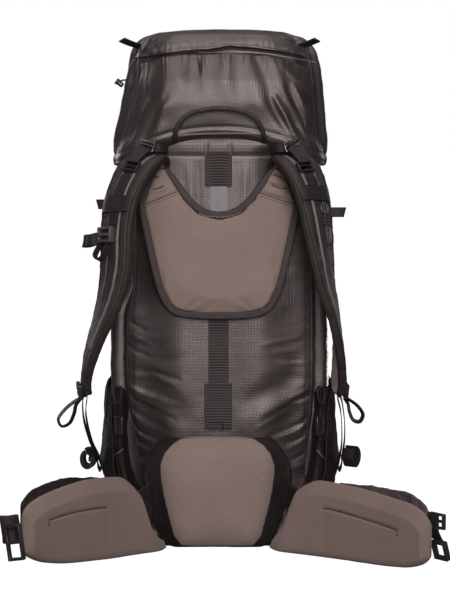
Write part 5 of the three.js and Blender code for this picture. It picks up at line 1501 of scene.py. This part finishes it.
def makeZipFlap(tree):
    edgeX, edgeY = np.array(flap["edge"]).T

    def place(u, v):
        x = edgeX[0] + (edgeX[-1] - edgeX[0]) * u
        y = np.interp(x, edgeX, edgeY) - flap["tall"] * v * np.sqrt(np.clip(1 - (2 * u - 1) ** 8, 0.02, 1))
        points = np.array([hitAt(tree, *at)[0] for at in zip(x, y)])
        roll = np.sqrt(np.clip(1 - np.maximum(1 - v / flap["rolled"], 0) ** 2, 0, 1))
        lift = flap["lift"] * (1 - easeIn(v, 0.25, 1.0)) * (0.35 + 0.65 * roll)
        pleat = flap["pleat"] * np.sin(x * 0.8 + 2 * np.sin(x * 0.19)) * easeIn(v, 0.1, 0.5) * (1 - v)
        return points - viewAhead * ((lift + pleat + flap["stand"]) * mm)[:, None]

    obj = laidGrid(flap["across"], flap["up"], place, *flap["size"])
    solidify(obj, flap["thick"], 2)
    points = coordsOf(obj)
    measure(obj, points[:, 0], points[:, 2])
    smoothShade(obj)
    finishPiece(obj, "zip_flap_cloth", ripstop, ["lid_zip_flap"])


# Seams: lines of thread in the picture, each on a piece, with the spacing in picture points. The thread's size is
# half a stitch's length, width and height.
seams = {
    "pale": [
        ("lid_cloth", [
            (134, 59.5), (150, 56), (166, 54), (195, 52.6), (225, 52.4), (250, 52.8), (272, 54.4), (295, 58),
            (316, 62.5),
        ], 1.9),
        ("lid_cloth", [(184, 134.2), (205, 133.2), (224, 132.8), (245, 132.9), (264, 133.4)], 2.1),
        ("lid_cloth", [(133, 60), (128.5, 68)], 1.8),
        ("bag_body", [(233, 157), (258, 157.3), (280, 157)], 2.0),
        ("bag_body", [(166, 157), (203, 157.3)], 2.0),
        ("yoke_tape", [
            (168, 178), (176, 190), (184, 201), (194, 211), (206, 216), (219, 217.4), (232, 216), (244, 211),
            (254, 201), (262, 190), (270, 178),
        ], 2.2),
    ],
    "dark": [
        ("spine_pocket_cloth", [(206.5, 386), (230, 386)], 1.8),
        ("spine_pocket_cloth", [(206.5, 388), (206.5, 428)], 2.0),
        ("spine_pocket_cloth", [(230, 388), (230, 428)], 2.0),
        ("yoke_foam", [(142, 206.2), (158, 199.6), (177, 192)], 1.7),
        ("yoke_foam", [(142, 208.4), (158, 201.8), (177.5, 194.2)], 1.7),
        ("yoke_foam", [(258.5, 192.8), (277, 199.4), (296, 205.6)], 1.7),
        ("yoke_foam", [(258, 195), (277, 201.6), (295.6, 207.8)], 1.7),
    ],
    "size": (1.1, 0.6, 0.5),
}


def sewSeams(kind, paint):
    spots, ways, outs = [], [], []
    for piece, line, spacing in seams[kind]:
        places, faces = onPicture(treeOf(bpy.data.objects[piece]), line, spacing)
        if len(places) > 2:
            spots.append(places)
            ways.append(unit(np.gradient(places, axis=0)))
            outs.append(faces)
    spots, ways, outs = (np.concatenate(part) for part in (spots, ways, outs))
    sides = unit(np.cross(outs, ways))
    deselect()
    bpy.ops.mesh.primitive_uv_sphere_add(segments=6, ring_count=4, radius=1)
    obj = bpy.context.object
    one = coordsOf(obj)
    modify(obj, "ARRAY", count=len(spots))
    long, wide, high = (size * mm for size in seams["size"])
    setCoords(obj, (spots[:, None] + ways[:, None] * (one[:, 0:1] * long) + sides[:, None] * (one[:, 1:2] * wide)
                    + outs[:, None] * (one[:, 2:3] * high)).reshape(-1, 3))
    smoothShade(obj)
    finishPiece(obj, f"stitches_{kind}", paint)


# Piping, hems and creases: round edges along lines in the picture, each set on one piece. The dark cords in the
# yoke's pleat creases are painted shadow.
piping = {
    "lid_hem": ("lid_cloth", 1.3, [[
        (178, 136), (190, 134.8), (207, 134), (224, 133.6), (242, 133.7), (258, 134.2), (270, 136),
    ]]),
    "corner_left": ("pocket_cuff_left", 1.2, [[(123, 449), (113, 457), (108, 462)]]),
    "corner_right": ("pocket_cuff_right", 1.2, [[(317, 450), (325, 460), (330, 467)]]),
    "zip_tape": ("lid_cloth", 1.5, [
        [(140, 58), (160, 55.2), (185, 52.6), (209, 51), (230, 49), (255, 50.4), (280, 53.6), (303, 57.6)]]),
    "hook": ("spine_pocket_cloth", 1.05, [[(214, 423), (219, 421.6), (222.6, 424), (222.6, 429)]]),
    "slit_left": ("fin_foam_left", 0.75, [[
        (49, 526), (49, 520.4), (62, 515.6), (78, 511.6), (94, 508.6), (107, 507.4),
    ]]),
    "slit_right": ("fin_foam_right", 0.75, [[
        (323.5, 508), (340, 511.6), (360, 517.6), (380, 524.4), (396.5, 530), (397.5, 536),
    ]]),
    # Dark cords in the yoke's pleat creases: painted shadow.
    "pleat_shadow_left": ("yoke_foam", 0.9, [
        [(141, 182), (146, 181), (152, 178.4), (158, 176.6)],
        [(152, 190), (157, 188.8), (164, 186.2)],
        [(140, 189), (143, 188.2), (147, 188.6)]]),
    "pleat_shadow_right": ("yoke_foam", 0.9, [
        [(269, 173.4), (278, 176.4), (284, 178.4), (290, 179.6)],
        [(272, 185), (277, 187.4), (282, 188.4)],
        [(283, 188.2), (288, 189.2), (294, 188.4)]]),
    "yoke_seam": ("yoke_foam", 0.45, [
        [(142, 205.4), (158, 198.8), (177, 191.4)],
        [(258.5, 192.2), (277, 198.8), (296, 204.6)]]),
}
pipingForm = {"spacing": (2, 4), "sunk": 0.6, "around": 10, "cuts": (9, 7)}


def makePiping(name, paint):
    piece, radius, lines = piping[name]
    tree = treeOf(bpy.data.objects[piece])
    cords = []
    for line in lines:
        places = onPicture(tree, line, pipingForm["spacing"][radius > 1])[0]
        if len(places) > 2:
            path = (places - drawnFrom) / mm - viewAhead * radius * pipingForm["sunk"]
            cords.append(laidCord(path, radius, pipingForm["around"], pipingForm["cuts"]))
        else:
            print("no room for", name, line[0])
    finishPiece(joined(cords), f"piping_{name}", paint)


# Pocket cuffs: the black cloth that carries each side pocket round the corner of the bag. Each row is a height
# in the picture, and where the cuff ends there on the pocket and on the bag.
cuffs = {
    "left": [
        (386, 110, 121), (393, 107, 128), (410, 106, 129), (425, 106, 127), (440, 105, 128), (452, 104, 129),
        (464, 104, 131), (479, 105, 136), (494, 108, 143),
    ],
    "right": [
        (386, 329, 318), (393, 331, 314), (410, 333, 314.5), (425, 334, 312), (440, 335, 312), (452, 336, 311),
        (464, 336, 309), (479, 335, 305), (494, 332, 298),
    ],
    "across": 40, "along": 110, "size": (0.035, 0.14), "thick": 1.2, "stand": (2.5, 0.6),
    "sinks": (0.6, 1.0), "bend": 3, "folds": [(2.5, (70, 20, 48), 3, 0)],
}


def makeCuff(side, solidTree, bagTree):
    rowY, outer, inner = np.array(cuffs[side], float).T
    toBag = 1 if side == "left" else -1

    def depthAt(tree, x, y, past=0):
        hit = hitAt(tree, x + toBag * past, y)[0]
        if hit is None:  # past the outline the cuff goes on round the corner
            return depthAt(tree, x, y, past + 1)
        return np.linalg.norm(np.array(hit) - eye) + past * cuffs["bend"] * mm

    def place(u, v):
        y = rowY[0] + (rowY[-1] - rowY[0]) * v
        x = np.interp(y, rowY, outer) * (1 - u) + np.interp(y, rowY, inner) * u
        sunk = easeIn(u, *cuffs["sinks"])  # its inner edge lies down on the bag's cloth
        solid, cloth = (np.array([depthAt(tree, *at) for at in zip(x, y)]) for tree in (solidTree, bagTree))
        aims = np.array([aimAt(*at) for at in zip(x, y)])
        points = eye + aims * (solid + (cloth - solid) * sunk)[:, None]
        free, least = cuffs["stand"]
        away = (free + ripple(points, cuffs["folds"])) * (1 - sunk) + least
        return points - viewAhead * (away * mm)[:, None]

    obj = laidGrid(cuffs["across"], cuffs["along"], place, *cuffs["size"])
    solidify(obj, cuffs["thick"], 2)
    smoothShade(obj)
    finishPiece(obj, f"pocket_cuff_{side}", packcloth)


for side in ("left", "right"):
    makeStrap(side)
    makeLifter(side)
    makeStrapEnd(side)
    makeSidePocket(side)
    makeRounded(f"side_cord_{side}", webbing)
    makeCuff(side, treeOf(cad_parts["main_bag"]), treeOf(bpy.data.objects["bag_body"]))
    makeMoulded(f"side_buckle_{side}", grow=moulded["sideGrow"])
    for part in ("anchor_buckle", "lifter_buckle", "strap_adjuster", "belt_buckle"):
        makeMoulded(f"{part}_{side}")
for name in sewnOn:
    makeSewn(name)
# The sternum buckle, clip and ring take the grey plastic: painted highlight over black plastic.
makeMoulded("sternum_buckle", highlightGreyPlastic)
makeSpareEnd()
makeMoulded("belt_slide_right")
makeMoulded("sternum_clip", highlightGreyPlastic)
makeMoulded("lid_cord_lock", move=moulded["lockMove"])
makeLockCord()
makeRounded("sternum_ring", highlightGreyPlastic)
makeHaulLoop()
makeFolds()
for key, name, replaced in (("sleeve", "stay_sleeve_ribs", "stay_sleeve"), ("spine", "spine_ribs", "spine_webbing"),
                            ("pocket", "spine_pocket_cloth", "spine_pocket")):
    makeSpineBand(key, name, replaced, elastic)
makeZipFlap(treeOf(bpy.data.objects["lid_cloth"]))
for name in piping:
    # Thin lines take the dark thread: the seams and slits, and the painted crease shadow along the yoke's pleats.
    thick = piping[name][1] > 1
    makePiping(name, webbing if name in ("zip_tape", "hook") else greyPiping if thick else darkThread)
sewSeams("pale", thread)
sewSeams("dark", darkThread)
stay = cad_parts["frame_stay"]
stay.data.materials.clear()
stay.data.materials.append(aluminium)
print("straps and fittings done")
